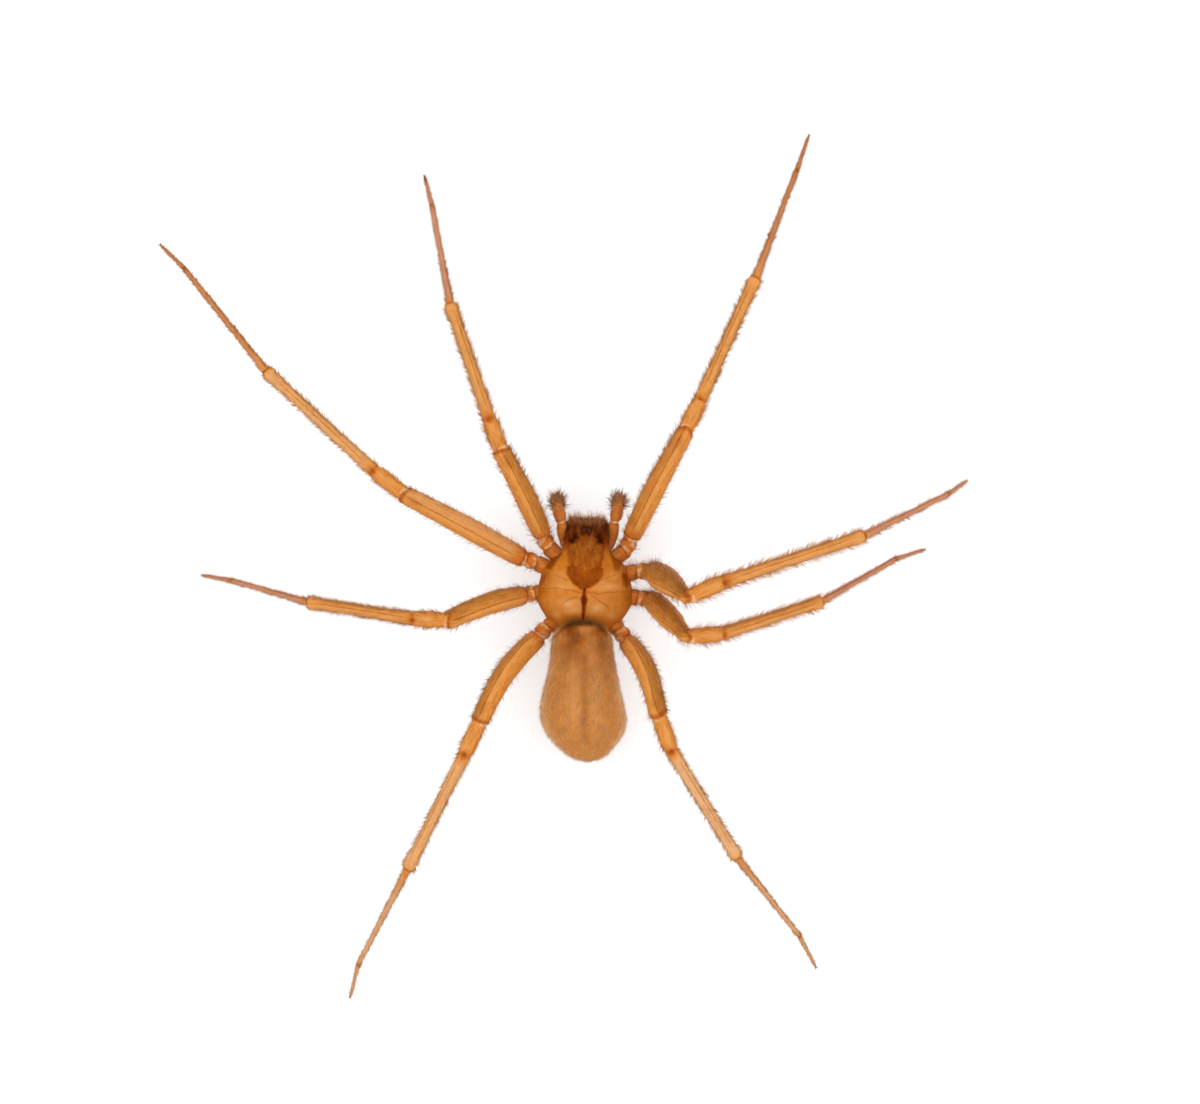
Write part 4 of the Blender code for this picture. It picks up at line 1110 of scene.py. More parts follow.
# size, end of the coxa, hip, headings in degrees from +X, rises above level, and how far
# the femur's middle leaves its chord to the left and upwards.
legPoses = {
    (1, "left"): (
        0.99, (-1.43, 1.61, 1.98), (-1.68, 2.12, 2.15),
        (116, 110, 109, 101, 104.5), (43, 28.5, -30, -33), (-0.05, 0.22),
    ),
    (2, "left"): (
        1.0, (-1.90, 1.02, 1.93), (-2.43, 1.20, 2.05),
        (151.5, 142, 137.5, 129, 135.5), (24.5, 7.5, -21, -20.5), (-0.03, 0.20),
    ),
    (3, "left"): (
        1.0, (-1.97, -0.12, 1.92), (-2.41, -0.22, 2.00),
        (198, 177, 171.5, 165, 170.5), (45.5, 19.5, -25, -40.5), (-0.11, 0.24),
    ),
    (4, "left"): (
        1.0, (-1.47, -1.38, 1.93), (-1.87, -1.81, 2.05),
        (235.5, 245.5, 243.5, 242.5, 255.5), (37, 15.5, -21.5, -30), (-0.24, 0.24),
    ),
    (1, "right"): (
        1.01, (1.44, 1.52, 1.98), (1.68, 2.04, 2.15),
        (63, 64.5, 65.5, 69, 70.5), (26.5, -18, -18.5, -20.5), (0.04, 0.22),
    ),
    (2, "right"): (
        1.0, (1.88, 0.68, 1.93), (2.48, 0.70, 2.05),
        (-38.5, 23.5, 18, 25.5, 34.5), (73.5, -3, -21.5, -47), (0.0, 0.20),
    ),
    (3, "right"): (
        1.0, (1.92, -0.28, 1.92), (2.43, -0.37, 2.00),
        (-47, 4.5, 17.5, 29, 17.5), (63.5, -17, -26.5, -37), (0.0, 0.20),
    ),
    (4, "right"): (
        1.0, (1.20, -1.50, 1.93), (1.51, -1.95, 2.05),
        (-67, -70, -58.5, -52, -62.5), (51.5, 2, -24, -36), (0.22, 0.24),
    ),
}
# Stations along a leg: 0 root, 1 end of coxa, 2 hip, 3 knee, 4 top of the shin, 5 ankle,
# 6 foot joint, 7 tip. Each row is a station and the width there, seen from above.
legWidths = (
    (0, 0.50), (0.5, 0.58), (0.9, 0.60), (0.97, 0.56), (1.02, 0.47), (1.08, 0.55), (1.3, 0.62),
    (1.55, 0.60), (1.64, 0.52), (1.72, 0.50), (1.80, 0.60), (2.0, 0.68), (2.06, 0.74), (2.16, 0.76),
    (2.38, 0.80), (2.62, 0.755), (2.85, 0.69), (2.95, 0.68), (2.985, 0.66), (3.0, 0.56), (3.02, 0.51),
    (3.08, 0.55), (3.2, 0.54), (3.5, 0.59), (3.8, 0.58), (3.93, 0.52), (4.0, 0.46), (4.03, 0.48),
    (4.1, 0.46), (4.3, 0.42), (4.6, 0.405), (4.85, 0.42), (4.95, 0.50), (4.985, 0.48), (5.0, 0.36),
    (5.03, 0.31), (5.1, 0.29), (5.3, 0.25), (5.6, 0.21), (5.9, 0.18),
    (5.97, 0.19), (6.0, 0.15), (6.05, 0.155), (6.3, 0.12), (6.7, 0.11), (6.95, 0.09), (7.0, 0.05),
)


# One value for each leg: those of the left legs from front to rear, then of the right.
def perLeg(left, right):
    sides = (("left", left), ("right", right))
    return {(pair, side): value for side, values in sides for pair, value in enumerate(values, 1)}


legSettings = {
    "tipHeight": 0.035,
    "femurDepth": 0.16,
    "around": 28,
    "ringStep": 0.062,
    "jointStep": 0.020,
    "bendRadius": 0.09,
    "kneeReach": 0.20,
    # how much stouter the middle of a femur is, and its width at the knee
    "femurShape": {(2, "right"): (1.16, 0.74), (3, "right"): (0.99, 0.72)},
    # the side of a knee that shows its pale skin: 1 towards the head, -1 towards the tail
    "paleSide": perLeg((1, 1, -1, -1), (1, -1, -1, -1)),
    # femora with a painted highlight on one side, and how pale the shins and feet are, leg by leg
    "femurHighlight": {(2, "left"): 0.34},
    "paleShin": perLeg((0.24, 0.37, 0.12, 0.42), (0.16, 0.20, 0.14, 0.54)),
    "paleFoot": perLeg((0.10, 0.05, 0.10, 0.60), (0.10, 0.10, 0.10, 0.52)),
    # how rosy the feet are
    "rose": perLeg((0.80, 0.42, 0.75, 0.22), (0.48, 0.75, 0.75, 0.28)),
    # how dark the feet are
    "darkFoot": perLeg((0.06, 0.15, 0.05, 0.07), (0.18, 0.05, 0.05, 0.07)),
    # how much slimmer the metatarsi are
    "slimFoot": perLeg((0.18, 0.10, 0.22, 0.12), (0.12, 0.20, 0.24, 0.22)),
    # how olive the femur is on the side towards the head, and how much painted shade darkens
    # its underside
    "olive": perLeg((0.50, 0.14, 0.36, 0.60), (0.34, 0.66, 0.42, 0.66)),
}


# A direction by its degrees from +X and its degrees above level.
def headingOf(heading, rise):
    h, r = math.radians(heading), math.radians(rise)
    return np.array([math.cos(r) * math.cos(h), math.cos(r) * math.sin(h), math.sin(r)])


# The line that a leg follows, with its stations: coxa on a smooth curve, the femur bowed
# by a half sine, then straight lengths, all bends softened by a bell-shaped mean.
def legLine(pair, side):
    size, coxaEnd, hip, headings, rises, bow = legPoses[pair, side]
    lengths = [length * size for length in legLengths[pair]]
    joints = [np.array(hip)]
    for length, heading, rise in zip(lengths, headings, rises):
        joints.append(joints[-1] + length * headingOf(heading, rise))
    drop = math.degrees(math.asin((joints[-1][2] - legSettings["tipHeight"]) / lengths[-1]))
    joints.append(joints[-1] + lengths[-1] * headingOf(headings[-1], -drop))
    sign = -1 if side == "left" else 1
    rootX, rootY, rootZ = coxaRoots[pair]
    start = np.array([fromBody((sign * rootX, rootY, rootZ)), coxaEnd, hip])
    chord = lengthsAlong(start)
    places = np.linspace(0, chord[-1], 60)
    points = [through(chord, start, places)]
    stations = [np.interp(places, chord, [0, 1, 2])]
    away = joints[1] - joints[0]
    toLeft = unit(np.array([-away[1], away[0], 0.0]))
    lean = toLeft * bow[0] + np.cross(unit(away), toLeft) * bow[1]
    for k in range(5):
        share = np.linspace(0, 1, 80)[1:, None]
        line = joints[k] + (joints[k + 1] - joints[k]) * share
        if k == 0:
            line = line + np.sin(math.pi * share) * lean
        points.append(line)
        stations.append(2 + k + share[:, 0])
    points, stations = np.concatenate(points), np.concatenate(stations)
    travelled = lengthsAlong(points)
    fine = np.arange(0, travelled[-1], 0.01)
    even = np.stack([np.interp(fine, travelled, points[:, k]) for k in range(3)], 1)
    reach = int(legSettings["bendRadius"] * 3 / 0.01)
    weights = np.exp(-((np.arange(-reach, reach + 1) * 0.01 / legSettings["bendRadius"]) ** 2) / 2)
    weights /= weights.sum()
    before = 2 * even[0] - even[reach:0:-1]
    after = 2 * even[-1] - even[-2 : -reach - 2 : -1]
    padded = np.concatenate([before, even, after])
    soft = np.stack([np.convolve(padded[:, k], weights, "valid") for k in range(3)], 1)
    at = np.interp(fine, travelled, stations)
    shin = joints[3] - joints[2]
    femur = joints[1] - joints[0]
    hinge = unit(np.cross(shin, femur))
    return soft, at, fine, hinge


# Markings of a leg by station and by the angle from its back towards the head's side.
def legMarks(station, angle, along, pair, side, seed):
    s = legSettings
    leg = pair, side
    oliveShare = s["olive"][leg]
    towardsPale = s["paleSide"][leg] * angle
    wave = ripple(along, angle * 0.3, 5.0, seed)
    dots = 0.5 + 0.5 * wave
    onBack = smoothStep(np.cos(angle), -0.1, 0.5)
    line = smoothStep(station, 2.06, 2.16) * smoothStep(station, 3.0, 2.92)
    line = line + smoothStep(station, 4.05, 4.15) * smoothStep(station, 4.95, 4.8) * 0.8
    line = line + smoothStep(station, 5.05, 5.15) * smoothStep(station, 5.7, 5.3) * 0.3
    line = line * smoothStep(np.abs(angle), 1.9, 1.3)
    isFemur = smoothStep(station, 2.05, 2.15) * smoothStep(station, 2.99, 2.97)
    olive = isFemur * smoothStep(angle, 0.05, 0.55) * smoothStep(angle, 2.5, 1.7) * oliveShare
    kneeRim = bell(station, 2.978, 0.014) * smoothStep(np.cos(angle), -0.6, 0.3)
    thick = 0.010 + (0.045 if leg in foldedLegs else 0.018) * smoothStep(towardsPale, -0.2, 1.0)
    kneePale = 1.15 * bell(station - 3.006, thick / 2, thick) * onBack * smoothStep(towardsPale, -1.1, 0.4)
    shinSpot = np.exp(-(((station - 3.985) / 0.035) ** 2) - (angle / 0.55) ** 2)
    shinDark = bell(station, 4.0, 0.018)
    ankleRim = bell(station, 4.99, 0.008)
    ankleBulb = bell(station, 4.955, 0.035)
    slant = 0.10 * np.sin(angle + 0.9) + 0.03 * wave
    tailward = smoothStep(-np.sin(angle) + 0.25 * wave, -0.9, 0.9)
    wedge = 0.035 + 0.16 * (1 - tailward)
    coxaPale = 0.75 * np.exp(-(((station - 1.06 - slant) / wedge) ** 4)) * smoothStep(angle, -1.5, -0.2)
    wedge = 0.070 + 0.26 * tailward
    coxaPale = coxaPale + np.exp(-(((station - 1.99 + wedge) / wedge) ** 6)) * smoothStep(angle, 1.5, 0.7)
    patches = np.clip(0.62 + 0.75 * ripple(along * 3.0, angle * 1.6, 5.0, seed + 3), 0.15, 1.0)
    coxaRim = bell(station - 0.90, slant, 0.05) + bell(station - 1.58, slant, 0.06)
    coxaRim = coxaRim + 1.2 * bell(station, 2.012, 0.012)
    patellaPale = smoothStep(station, 3.08, 3.75) * smoothStep(station, 3.97, 3.86) * bell(angle, 0.25, 0.45)
    # Painted shade: the femur's underside is darkened, more on the olive femora.
    under = smoothStep(np.cos(angle), 0.25, -0.35) * smoothStep(station, 2.0, 2.1)
    under = under * smoothStep(station, 3.02, 2.98)
    foot = smoothStep(station, 4.98, 5.3)
    toe = smoothStep(station, 6.6, 6.98)
    kneeMark = np.exp(-(((station - 2.90) / 0.05) ** 2) - ((angle - 0.1) / 0.30) ** 2)
    dark = 0.40 * kneeRim + 0.26 * kneeMark + 0.60 * ankleRim + 0.22 * shinDark + 0.26 * coxaRim
    dark = dark + (0.60 if leg == (1, "left") else 0.14) * toe
    dark = dark + 0.40 * under * oliveShare + 0.30 * shinSpot
    base = smoothStep(station, 2.06, 1.98)
    dark = dark + s["darkFoot"][leg] * foot + 0.06 * smoothStep(station, 5.9, 6.0)
    dark = dark + 0.35 * bell(station, 6.0, 0.035)
    femurBase = bell(station, 2.05, 0.05) * smoothStep(station, 1.99, 2.01)
    red = 0.85 * shinSpot + 0.3 * ankleRim + 0.32 * coxaRim + 0.20 * kneeMark + 0.50 * base
    red = red + 0.45 * femurBase + 0.45 * kneeRim
    pale = 0.98 * np.clip(coxaPale, 0, 1) * patches * smoothStep(np.cos(angle), -0.15, 0.25)
    pale = 0.95 * kneePale + pale
    # Painted highlight: one side of a femur is made paler where light falls on it.
    pale = pale + s["femurHighlight"].get(leg, 0) * isFemur * smoothStep(angle, -0.1, 0.6)
    shin = smoothStep(station, 4.0, 4.1) * smoothStep(station, 5.0, 4.9)
    pale = pale + 0.26 * patellaPale + 0.22 * ankleBulb
    pale = pale + s["paleFoot"][leg] * foot + s["paleShin"][leg] * shin
    other = 0.85 * olive * (0.8 + 0.2 * dots) + 0.04 * foot + 0.18 * base * (0.6 + 0.8 * dots)
    return {
        "dark": np.clip(dark, 0, 1),
        "red": np.clip(red, 0, 1),
        "pale": np.clip(pale, 0, 1),
        "other": np.clip(other, 0, 1),
        "line": np.clip(line, 0, 1),
        "rose": s["rose"][leg] * smoothStep(station, 4.99, 5.12),
    }


# Rings along the leg's line, closer at the joints. Where a bend would make them cross on
# its inner side, they stop at the plane that halves the bend.
def legSkin(pair, side):
    line, stations, travelled, hinge = legLine(pair, side)
    jointsAt = np.interp([1, 2, 3, 4, 5, 6], stations, travelled)
    density = np.full(len(travelled), 1 / legSettings["ringStep"])
    for at in jointsAt:
        density = density + bell(travelled, at, 0.16) / legSettings["jointStep"]
    total = np.cumsum(density) * 0.01
    places = np.interp(np.linspace(total[0], total[-1], int(total[-1])), total, travelled)
    centres = np.stack([np.interp(places, travelled, line[:, k]) for k in range(3)], 1)
    station = np.interp(places, travelled, stations)
    around = legSettings["around"]
    turn = np.arange(around) * 2 * math.pi / around
    angle = (math.pi / 2 - turn) if side == "left" else (turn - math.pi / 2)
    angle = ((angle + math.pi) % (2 * math.pi) - math.pi)[None, :]
    fromKnee = (places - jointsAt[2])[:, None]
    ahead = legSettings["kneeReach"] * np.maximum(np.cos(angle), 0) * bell(fromKnee, 0, 0.5)
    local = np.interp(places[:, None] - ahead, travelled, stations)
    half = np.interp(local, [w[0] for w in legWidths], [w[1] for w in legWidths]) / 2
    slim = legSettings["slimFoot"][pair, side] * smoothStep(local, 4.99, 5.02) * smoothStep(local, 6.0, 5.6)
    half = half * (1 - slim)
    stout, taper = legSettings["femurShape"].get((pair, side), (1.0, 1.0))
    half = half * (1 + (stout - 1) * bell(local, 2.4, 0.28))
    half = half * (1 + (taper - 1) * smoothStep(local, 2.62, 2.95) * smoothStep(local, 3.03, 2.99))
    femur = smoothStep(local, 2.0, 2.15) * smoothStep(local, 2.98, 2.85)
    deep = half * (1 + legSettings["femurDepth"] * femur)
    grid = sweep(centres, half, deep, hinge, around)
    for at in jointsAt:
        before, middle, after = (
            np.array([np.interp(at + w, travelled, line[:, c]) for c in range(3)]) for w in (-0.35, 0, 0.35)
        )
        plane = unit(unit(middle - before) + unit(after - middle))
        height = (grid - middle) @ plane
        gap = (places - at)[:, None]
        near = np.abs(gap) < 0.9
        over = np.where(gap < 0, np.maximum(height - 0.12 * gap, 0), np.minimum(height - 0.12 * gap, 0))
        grid = grid - np.where(near, over, 0)[..., None] * plane
    seed = pair * 10 + (1 if side == "left" else 2)
    marks = legMarks(local, angle, places[:, None], pair, side, seed)
    marks["lie"] = np.stack(np.broadcast_arrays(places[:, None] + 30 * seed, angle * half, 0.0), -1)
    skin = skinOf(grid, marks)
    skin["station"], skin["places"] = station, places
    return skin


legLook = plainLook(
    base=colourOf(246, 165, 80),
    second=colourOf(226, 134, 46),
    other=colourOf(150, 94, 26),
    rose=colourOf(226, 158, 130),
    speckColour=colourOf(128, 66, 16),
    streakScale=(2.2, 13.0, 0.0),
    mottle=0.9,
    specks=0.36,
    roughness=0.40,
    gloss=0.05,
    bump=0.6,
    glow=0.25,
    backLine={
        "place": 0.075,
        "width": 0.026,
        "darkness": 0.62,
        "paleAt": -0.02,
        "paleWidth": 0.13,
        "paleness": 0.42,
        "light": colourOf(250, 186, 108),
        "wobble": 0.030,
        "rowGap": 0.055,
        "rows": 0.22,
    },
)


eyeSettings = {"middleRadius": 0.094, "sideRadius": 0.080, "sink": 0.012, "rings": 22, "around": 32}


# A ball, in rings from below its one pole to above the other.
def ballSkin(centre, radius, rings, around):
    polar = (np.arange(rings) + 0.5) * math.pi / rings
    turn = np.arange(around) * 2 * math.pi / around
    x = np.sin(polar)[:, None] * np.cos(turn)[None]
    y = np.sin(polar)[:, None] * np.sin(turn)[None]
    z = np.broadcast_to(np.cos(polar)[:, None], x.shape)
    grid = np.asarray(centre) + radius * np.stack([x, y, z], -1)
    return skinOf(grid, {**plainMarks, "lie": grid})


# The six eyes, each sunk a little into its mound.
def addEyes():
    s = eyeSettings
    for name, (x, y) in eyePlaces.items():
        isMiddle = "median" in name
        place = fromBody((x, y, float(carapaceHeight(x, y)) - s["sink"]))
        skin = ballSkin(place, s["middleRadius"] if isMiddle else s["sideRadius"], s["rings"], s["around"])
        finish = finishes["middleEye"] if isMiddle else finishes["sideEye"]
        addPiece(name + "_globe", surfaceOf(skin), finish, [name])


# From a leg's tip to a claw's start, and from there to its bend and its end: how far
# ahead, aside and up. No point of the line is lower than the lowest height.
clawSettings = {
    "start": (-0.03, 0.012, 0.012),
    "bends": ((0.07, 0.022, 0.022), (0.12, 0.034, -0.030)),
    "lowest": 0.006,
    "widths": ((0, 0.040), (0.5, 0.030), (1.0, 0.008)),
}


# Two curved claws at each leg's tip: thin cones along an arc that bends down.
def clawSurfaces(skin):
    s = clawSettings
    tip = skin["grid"][-1].mean(0)
    forward = unit(tip - skin["grid"][-12].mean(0))
    aside = unit(np.cross(forward, (0, 0, 1)))
    made = []
    for sign in (-1, 1):
        axes = np.stack([forward, aside * sign, (0, 0, 1)])
        start = tip + np.array(s["start"]) @ axes
        middle, end = (start + np.array(bend) @ axes for bend in s["bends"])
        end[2] = max(end[2], s["lowest"])
        made.append(surfaceOf(limbSkin((start, middle, end), s["widths"], aside, 14, 10)))
    return made


addCamera()
addLight()


# Horn and eyes: one colour, smooth, with few specks.
def hornFinish(name, colour, rough, coat, gloss):
    look = plainLook(base=colour, second=colour, other=colour, roughness=rough, gloss=gloss, coat=coat)
    look.update(bump=0.05, specks=0.1, mottle=0.3)
    return shellFinish(name, look)


mouthLook = plainLook(
    base=colourOf(120, 60, 26),
    second=colourOf(92, 42, 16),
    other=colourOf(80, 36, 14),
    roughness=0.4,
)
palpLook = plainLook(
    base=colourOf(224, 138, 60),
    second=colourOf(200, 108, 34),
    other=colourOf(190, 100, 30),
    streakScale=(5.0, 5.0, 5.0),
    gloss=0.08,
    bump=0.6,
)
finishes = {
    "carapace": shellFinish("carapaceShell", carapaceLook),
    "abdomen": shellFinish("abdomenSkinFinish", abdomenLook),
    "leg": shellFinish("legShell", legLook),
    "sternum": shellFinish("sternumShell", plainLook()),
    "mouth": shellFinish("cheliceraShell", mouthLook),
    "palp": shellFinish("palpShell", palpLook),
    "fang": hornFinish("fangHorn", colourOf(46, 20, 10), 0.22, 0.4, 0.12),
    "claw": hornFinish("clawHorn", colourOf(60, 44, 36), 0.4, 0.1, 0.12),
    "middleEye": hornFinish("middleEyeGlass", colourOf(74, 48, 24), 0.2, 0.0, 0.07),
    "sideEye": hornFinish("sideEyeGlass", colourOf(46, 18, 4), 0.25, 0.0, 0.04),
}

body = carapaceSkin()
addPiece("prosomaSkin", surfaceOf(body), finishes["carapace"], ["cephalothorax"])
addPiece("sternumPlate", surfaceOf(sternumSkin()), finishes["sternum"], ["sternum"])
print("body skin made")

belly = abdomenSkin()
addPiece("abdomenSkin", surfaceOf(belly), finishes["abdomen"], ["abdomen"])
waistPath = ((-0.06, -1.25, 1.70), (-0.10, -1.62, 1.72), (-0.14, -2.10, 1.90))
waist = limbSkin(waistPath, ((0, 0.46), (1, 0.46)), (1, 0, 0), 24, 28)
addPiece("waist", surfaceOf(waist), finishes["sternum"], ["pedicel"])
addPiece("spinneretSkin", joined(spinneretSurfaces()), finishes["abdomen"], ["spinnerets"])
print("abdomen made")

palps = {}
for side, sign in (("left", -1), ("right", 1)):
    mirror = (sign, 1, 1)
    path = fromBody(np.array(mouthSettings["chelicera"]) * mirror)
    jaw = limbSkin(path, mouthSettings["cheliceraWidths"], (1, 0, 0), 60, 36)
    addPiece("jaw_" + side, surfaceOf(jaw), finishes["mouth"], ["chelicera_" + side])
    path = fromBody(np.array(mouthSettings["fang"]) * mirror)
    fang = limbSkin(path, mouthSettings["fangWidths"], (1, 0, 0), 36, 20)
    addPiece("fangHorn_" + side, surfaceOf(fang), finishes["fang"], ["fang_" + side])
    palp = limbSkin(palpPaths[side], palpWidths, (1, 0, 0), 150, 32, 1.0, palpMarks)
    path = fromBody(np.array(mouthSettings["endite"]) * mirror)
    endite = limbSkin(path, mouthSettings["enditeWidths"], (0, 1, 0), 36, 26)
    both = joined([surfaceOf(palp), surfaceOf(endite)])
    addPiece("palpSkin_" + side, both, finishes["palp"], ["palp_" + side])
    palps[side] = palp
addEyes()
print("mouth parts, palps and eyes made")

legs = {}
claws = []
for pair, side in legPoses:
    skin = legSkin(pair, side)
    legs[pair, side] = skin
    nodes = [f"leg{pair}_{side}_{part}" for part in ("coxa", "femur", "patella", "tibia", "foot")]
    addPiece(f"legSkin{pair}_{side}", surfaceOf(skin), finishes["leg"], nodes)
    claws += clawSurfaces(skin)
addPiece("claws", joined(claws), finishes["claw"])
print("legs made")


legHair = {
    "lying": 4000,
    "standing": 1900,
    "lyingWidth": (0.009, 0.014),
    "standingWidth": (0.010, 0.0165),
    "lyingBoldness": 0.50,
    "standingBoldness": 0.62,
    "foldedBoldness": 0.30,
    "root": colourOf(160, 104, 42),
    "tip": colourOf(226, 184, 132),
    "strength": 0.75,
    "tipShare": 0.85,
    "followsDark": 0.0,
    "onHeadSide": 0.70,
    # how long the standing hairs are, leg by leg
    "reach": perLeg((1.0, 0.88, 0.92, 0.84), (0.95, 1.30, 1.20, 0.90)),
    # how many of them stand, leg by leg
    "amount": perLeg((1.2, 1.2, 1.3, 1.0), (1.2, 1.4, 1.2, 1.1)),
    # station and how densely hairs stand there
    "density": ((0, 0.7), (1.9, 0.7), (2.1, 0.5), (2.9, 0.9), (3.9, 1.0), (4.5, 1.2), (6, 1.0), (7, 0.8)),
    # station, shortest, longest
    "lengths": (
        (0, 0.12, 0.28), (2.0, 0.14, 0.36), (3.0, 0.16, 0.36),
        (4.8, 0.15, 0.32), (5.1, 0.11, 0.23), (7.0, 0.05, 0.12),
    ),
}


# Fine hairs lie all over a leg. Others stand on its two sides, more on the head's side.
def growLegHair(pair, side, finish):
    h = legHair
    skin = legs[pair, side]
    n, m = skin["grid"].shape[:2]
    count = h["lying"] + int(h["standing"] * h["amount"][pair, side])
    stands = np.arange(count) >= h["lying"]
    start = np.interp(0.45, skin["station"], skin["places"])
    steps = np.linspace(start, skin["places"][-3], 400)
    dense = np.array(h["density"])
    share = np.cumsum(np.interp(np.interp(steps, skin["places"], skin["station"]), dense[:, 0], dense[:, 1]))
    places = np.interp(dice.random(count) * share[-1], share, steps)
    i = np.interp(places, skin["places"], np.arange(n))
    station = np.interp(i, np.arange(n), skin["station"])
    headShare = np.interp(station, [2.95, 3.05], [h["onHeadSide"], 0.5])
    sideways = np.where(dice.random(count) < headShare, 1, -1) * dice.normal(1.42, 0.34, count)
    angle = np.where(stands, sideways, dice.uniform(-math.pi, math.pi, count))
    j = (math.pi / 2 - angle if side == "left" else angle + math.pi / 2) / (2 * math.pi) * m % m
    rows = np.array(h["lengths"])
    low, high = (np.interp(station, rows[:, 0], rows[:, k]) for k in (1, 2))
    length = low + (high - low) * dice.random(count) ** 1.4
    length = length * np.where(stands, 1.15 * h["reach"][pair, side], 0.7)
    width = np.where(stands, dice.uniform(*h["standingWidth"], count), dice.uniform(*h["lyingWidth"], count))
    width = width * np.interp(station, [0, 2, 3.5, 5, 7], [0.7, 0.75, 1.0, 1.0, 0.7])
    lift = np.radians(np.where(stands, dice.uniform(26, 58, count), 5 + 18 * dice.random(count)))
    curl = np.where(stands, dice.uniform(-0.2, 0.4, count), dice.uniform(0.4, 0.9, count))
    lay = np.radians(dice.normal(0, 14, count))
    standing = h["foldedBoldness" if (pair, side) in foldedLegs else "standingBoldness"]
    lying = h["lyingBoldness"] * np.interp(station, [2.9, 3.2], [1.0, 0.30]) * dice.uniform(0.0, 2.1, count)
    hairs = hairsOf(skin, i, j, length, width, lift, curl, lay, bold=np.where(stands, standing, lying))
    addPiece(f"legHair{pair}_{side}", hairs, finish)


legHairFinish = hairFinish("legHairFinish", legLook, legHair)
for pair, side in legPoses:
    growLegHair(pair, side, legHairFinish)

abdomenHair = {
    "count": 14000,
    "length": (0.12, 0.28),
    "width": (0.009, 0.013),
    "lift": (8, 28),
    "curl": (0.2, 0.9),
    "lay": 16,
    "root": colourOf(255, 190, 122),
    "tip": colourOf(255, 222, 174),
    "strength": 0.36,
    "tipShare": 0.30,
    "followsDark": 1.0,
}


# Short fuzz, spread evenly by area. It stands further out on the flanks, where it is thinner
# and takes more of its pale tones as painted light.
def growAbdomenHair():
    h = abdomenHair
    count = h["count"]
    grid = belly["grid"]
    n, m = grid.shape[:2]
    width = np.linalg.norm(np.roll(grid, -1, 1) - grid, axis=2)
    step = np.linalg.norm(np.gradient(grid, axis=0), axis=2)
    area = (width * step).ravel()
    pick = dice.choice(n * m, count, p=area / area.sum())
    i = np.clip(pick // m + dice.random(count), 0, n - 1.001)
    j = pick % m + dice.random(count)
    flank = smoothStep(np.sin(j / m * 2 * math.pi), 0.60, 0.20)
    length = dice.uniform(*h["length"], count)
    width, lift, curl, lay = stanceOf(h, count, 32 * flank)
    width = width * (1 - 0.40 * flank)
    # Painted light: flank hairs take more of the pale root and tip tones, against the shade there.
    bold = 1 + 1.5 * flank
    hairs = hairsOf(belly, i, j, length, width, lift, curl, lay, steps=2, flow=(0, -1, -0.1), bold=bold)
    addPiece("abdomenFuzz", hairs, hairFinish("abdomenFuzzFinish", abdomenLook, h))


growAbdomenHair()

frontHair = {
    "count": 520,
    "width": (0.010, 0.017),
    "root": colourOf(124, 82, 30),
    "tip": colourOf(190, 140, 84),
    "strength": 0.70,
    "tipShare": 0.7,
    "followsDark": 0.3,
}


# Darker, longer hairs stand on the abdomen's front edge, where it meets the carapace.
def growFrontHair():
    h = frontHair
    count = h["count"]
    m = belly["grid"].shape[1]
    i = 4 + 14 * dice.random(count) ** 1.2
    j = dice.normal(m / 4, m / 6, count) % m
    hairs = hairsOf(
        belly, i, j, dice.uniform(0.12, 0.30, count), dice.uniform(*h["width"], count),
        np.radians(dice.uniform(25, 75, count)), dice.uniform(0.0, 0.6, count), dice.normal(0, 0.5, count),
        flow=(0, -1, 0.2),
    )
    addPiece("abdomenFrontHair", hairs, hairFinish("abdomenFrontHairFinish", abdomenLook, h))


growFrontHair()

headHair = {
    "count": 2200,
    "width": (0.010, 0.018),
    "lift": (10, 38),
    "curl": (0.2, 0.8),
    "lay": 12,
    "root": colourOf(176, 90, 28),
    "tip": colourOf(240, 156, 78),
    "strength": 0.60,
    "tipShare": 0.9,
    "followsDark": 0.80,
}


# Bristles on the head lie forward, longer towards the brow and few before the eyes.
def growHeadHair():
    h = headHair
    count = h["count"]
    grid = body["grid"]
    n = len(grid)
    top = carapaceSettings["acrossTop"]
    x, y = grid[:, :top, 0] + 0.07, grid[:, :top, 1]
    weight = 0.45 * smoothStep(y, 0.5, 1.5) * smoothStep(np.abs(x), 0.9, 0.5)
    weight = weight + 0.7 * smoothStep(y, 1.5, 2.3) + 0.008
    for eyeX, eyeY in eyePlaces.values():
        weight = weight * (np.hypot(x - eyeX, y - eyeY) > 0.13)
        weight = weight * np.where((np.abs(x - eyeX) < 0.10) & (y < eyeY) & (y > eyeY - 0.30), 0.08, 1.0)
    weight = weight.ravel()
    pick = dice.choice(n * top, count, p=weight / weight.sum())
    i = np.clip(pick // top + dice.random(count), 0, n - 1.001)
    j = pick % top + dice.random(count) * 0.99
    usual = np.interp(sample(grid[..., 1], i, j), [0.5, 1.2, 2.1, 2.4], [0.08, 0.15, 0.20, 0.24])
    length = dice.uniform(0.6, 1.2, count) * usual
    width, lift, curl, lay = stanceOf(h, count)
    bold = 1.7 * dice.random(count) ** 1.5
    hairs = hairsOf(body, i, j, length, width, lift, curl, lay, flow=(0, 1, 0.1), bold=bold)
    addPiece("headBristles", hairs, hairFinish("headBristleFinish", carapaceLook, h))


browHair = {
    "count": 1400,
    "width": (0.006, 0.013),
    "root": colourOf(170, 80, 26),
    "tip": colourOf(255, 190, 128),
    "strength": 0.9,
    "tipShare": 0.85,
    "followsDark": 0.15,
}


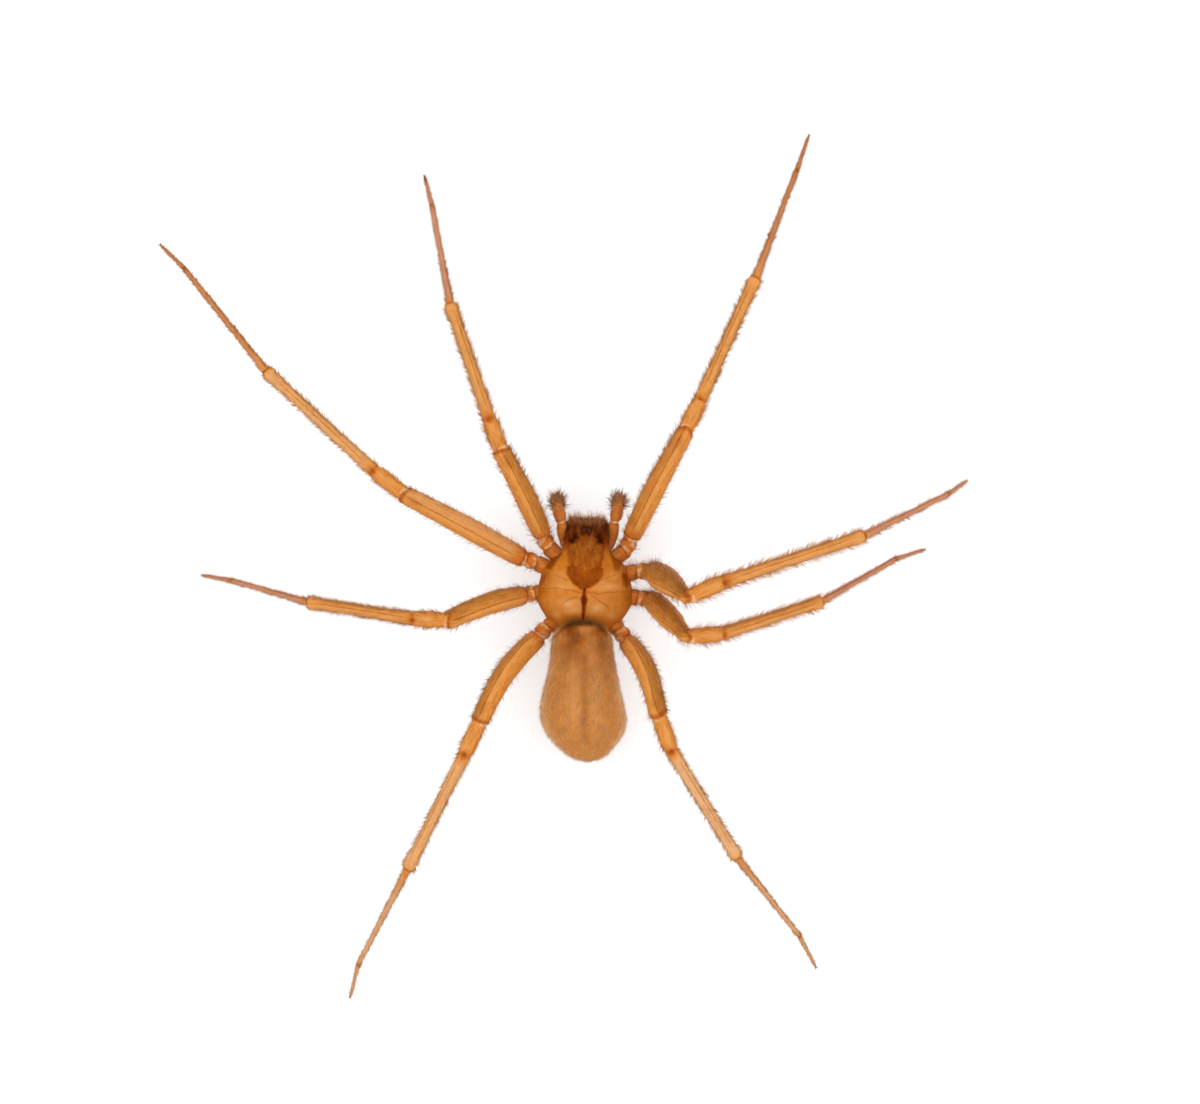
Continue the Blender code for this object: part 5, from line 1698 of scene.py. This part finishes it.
# A fringe that stands forward over the brow: longest in the middle, its tips pale.
def growBrowHair():
    h = browHair
    top = carapaceSettings["acrossTop"]
    count = h["count"]
    i = 3 + 15 * dice.random(count) ** 1.1
    j = dice.uniform(3, top - 4, count)
    middle = 1 - np.abs(j / (top - 1) * 2 - 1) ** 8
    outward = np.interp(j, [0, top / 2, top], [-0.5, 0.0, 0.5])
    length = 0.08 + (0.16 + 0.34 * middle) * dice.random(count) ** 2
    lift = np.radians(np.interp(i, [3, 10, 18], [84, 40, 26]) * dice.uniform(0.6, 1.0, count))
    hairs = hairsOf(
        body, i, j, length, dice.uniform(*h["width"], count), lift, dice.uniform(-0.1, 0.5, count),
        dice.normal(0, 0.42, count) - 1.5 * outward, flow=(0, 1, 0.3),
        bold=np.where(dice.random(count) < 0.35, 0.2, 1.2),
    )
    addPiece("browFringe", hairs, hairFinish("browFringeFinish", carapaceLook, h))


growBrowHair()
growHeadHair()

palpHair = {
    "count": 640,
    "width": (0.012, 0.020),
    "lift": (25, 70),
    "curl": (0.1, 0.6),
    "lay": 14,
    "root": colourOf(164, 112, 70),
    "tip": colourOf(166, 132, 100),
    "strength": 0.7,
    "tipShare": 0.7,
    "followsDark": 0.0,
}


# Hairs all along a palp, more and longer on its last part.
def growPalpHair(side, palp, finish):
    h = palpHair
    count = h["count"]
    n, m = palp["grid"].shape[:2]
    isLate = dice.random(count) < 0.6
    share = np.where(isLate, dice.uniform(0.70, 0.99, count), dice.uniform(0.15, 0.99, count))
    usual = np.interp(share, [0.15, 0.65, 0.72, 1.0], [0.12, 0.22, 0.46, 0.44])
    length = usual * (0.25 + 0.85 * dice.random(count) ** 1.4)
    j = dice.random(count) * m
    width, lift, curl, lay = stanceOf(h, count)
    hairs = hairsOf(palp, share * (n - 1), j, length, width, lift, curl, lay)
    addPiece("palpHair_" + side, hairs, finish)


palpHairFinish = hairFinish("palpHairFinish", palpLook, palpHair)
for side, palp in palps.items():
    growPalpHair(side, palp, palpHairFinish)
print("hair made")


# The paper glows a little by itself, like a light table, so shadows stay faint on it.
floorSettings = {
    "size": 400.0,
    "depth": 0.004,
    "colour": (0.56, 0.565, 0.57),
    "fibres": (0.52, 0.525, 0.53),
    "glow": 0.38,
}


def addFloor():
    s = floorSettings
    half = s["size"] / 2 * mm
    corners = [(x * half, y * half, -s["depth"] * mm) for x, y in ((-1, -1), (1, -1), (1, 1), (-1, 1))]
    mesh = bpy.data.meshes.new("floor")
    mesh.from_pydata(corners, [], [(0, 1, 2, 3)])
    finish, shader, start = newFinish("palePaper")
    fibre = start.add("ShaderNodeTexCoord", output=3).noise(900.0, 2.0)
    colour = start.colour((*s["colour"], 1.0)).towards((*s["fibres"], 1.0), fibre * 0.15)
    sockets = {
        "Base Color": colour,
        "Roughness": 0.9,
        "Specular IOR Level": 0.1,
        "Emission Color": (1.0, 1.0, 1.0, 1.0),
        "Emission Strength": s["glow"],
    }
    start.feed(shader, sockets)
    mesh.materials.append(finish)
    floor = bpy.data.objects.new("floor", mesh)
    bpy.context.scene.collection.objects.link(floor)


addFloor()
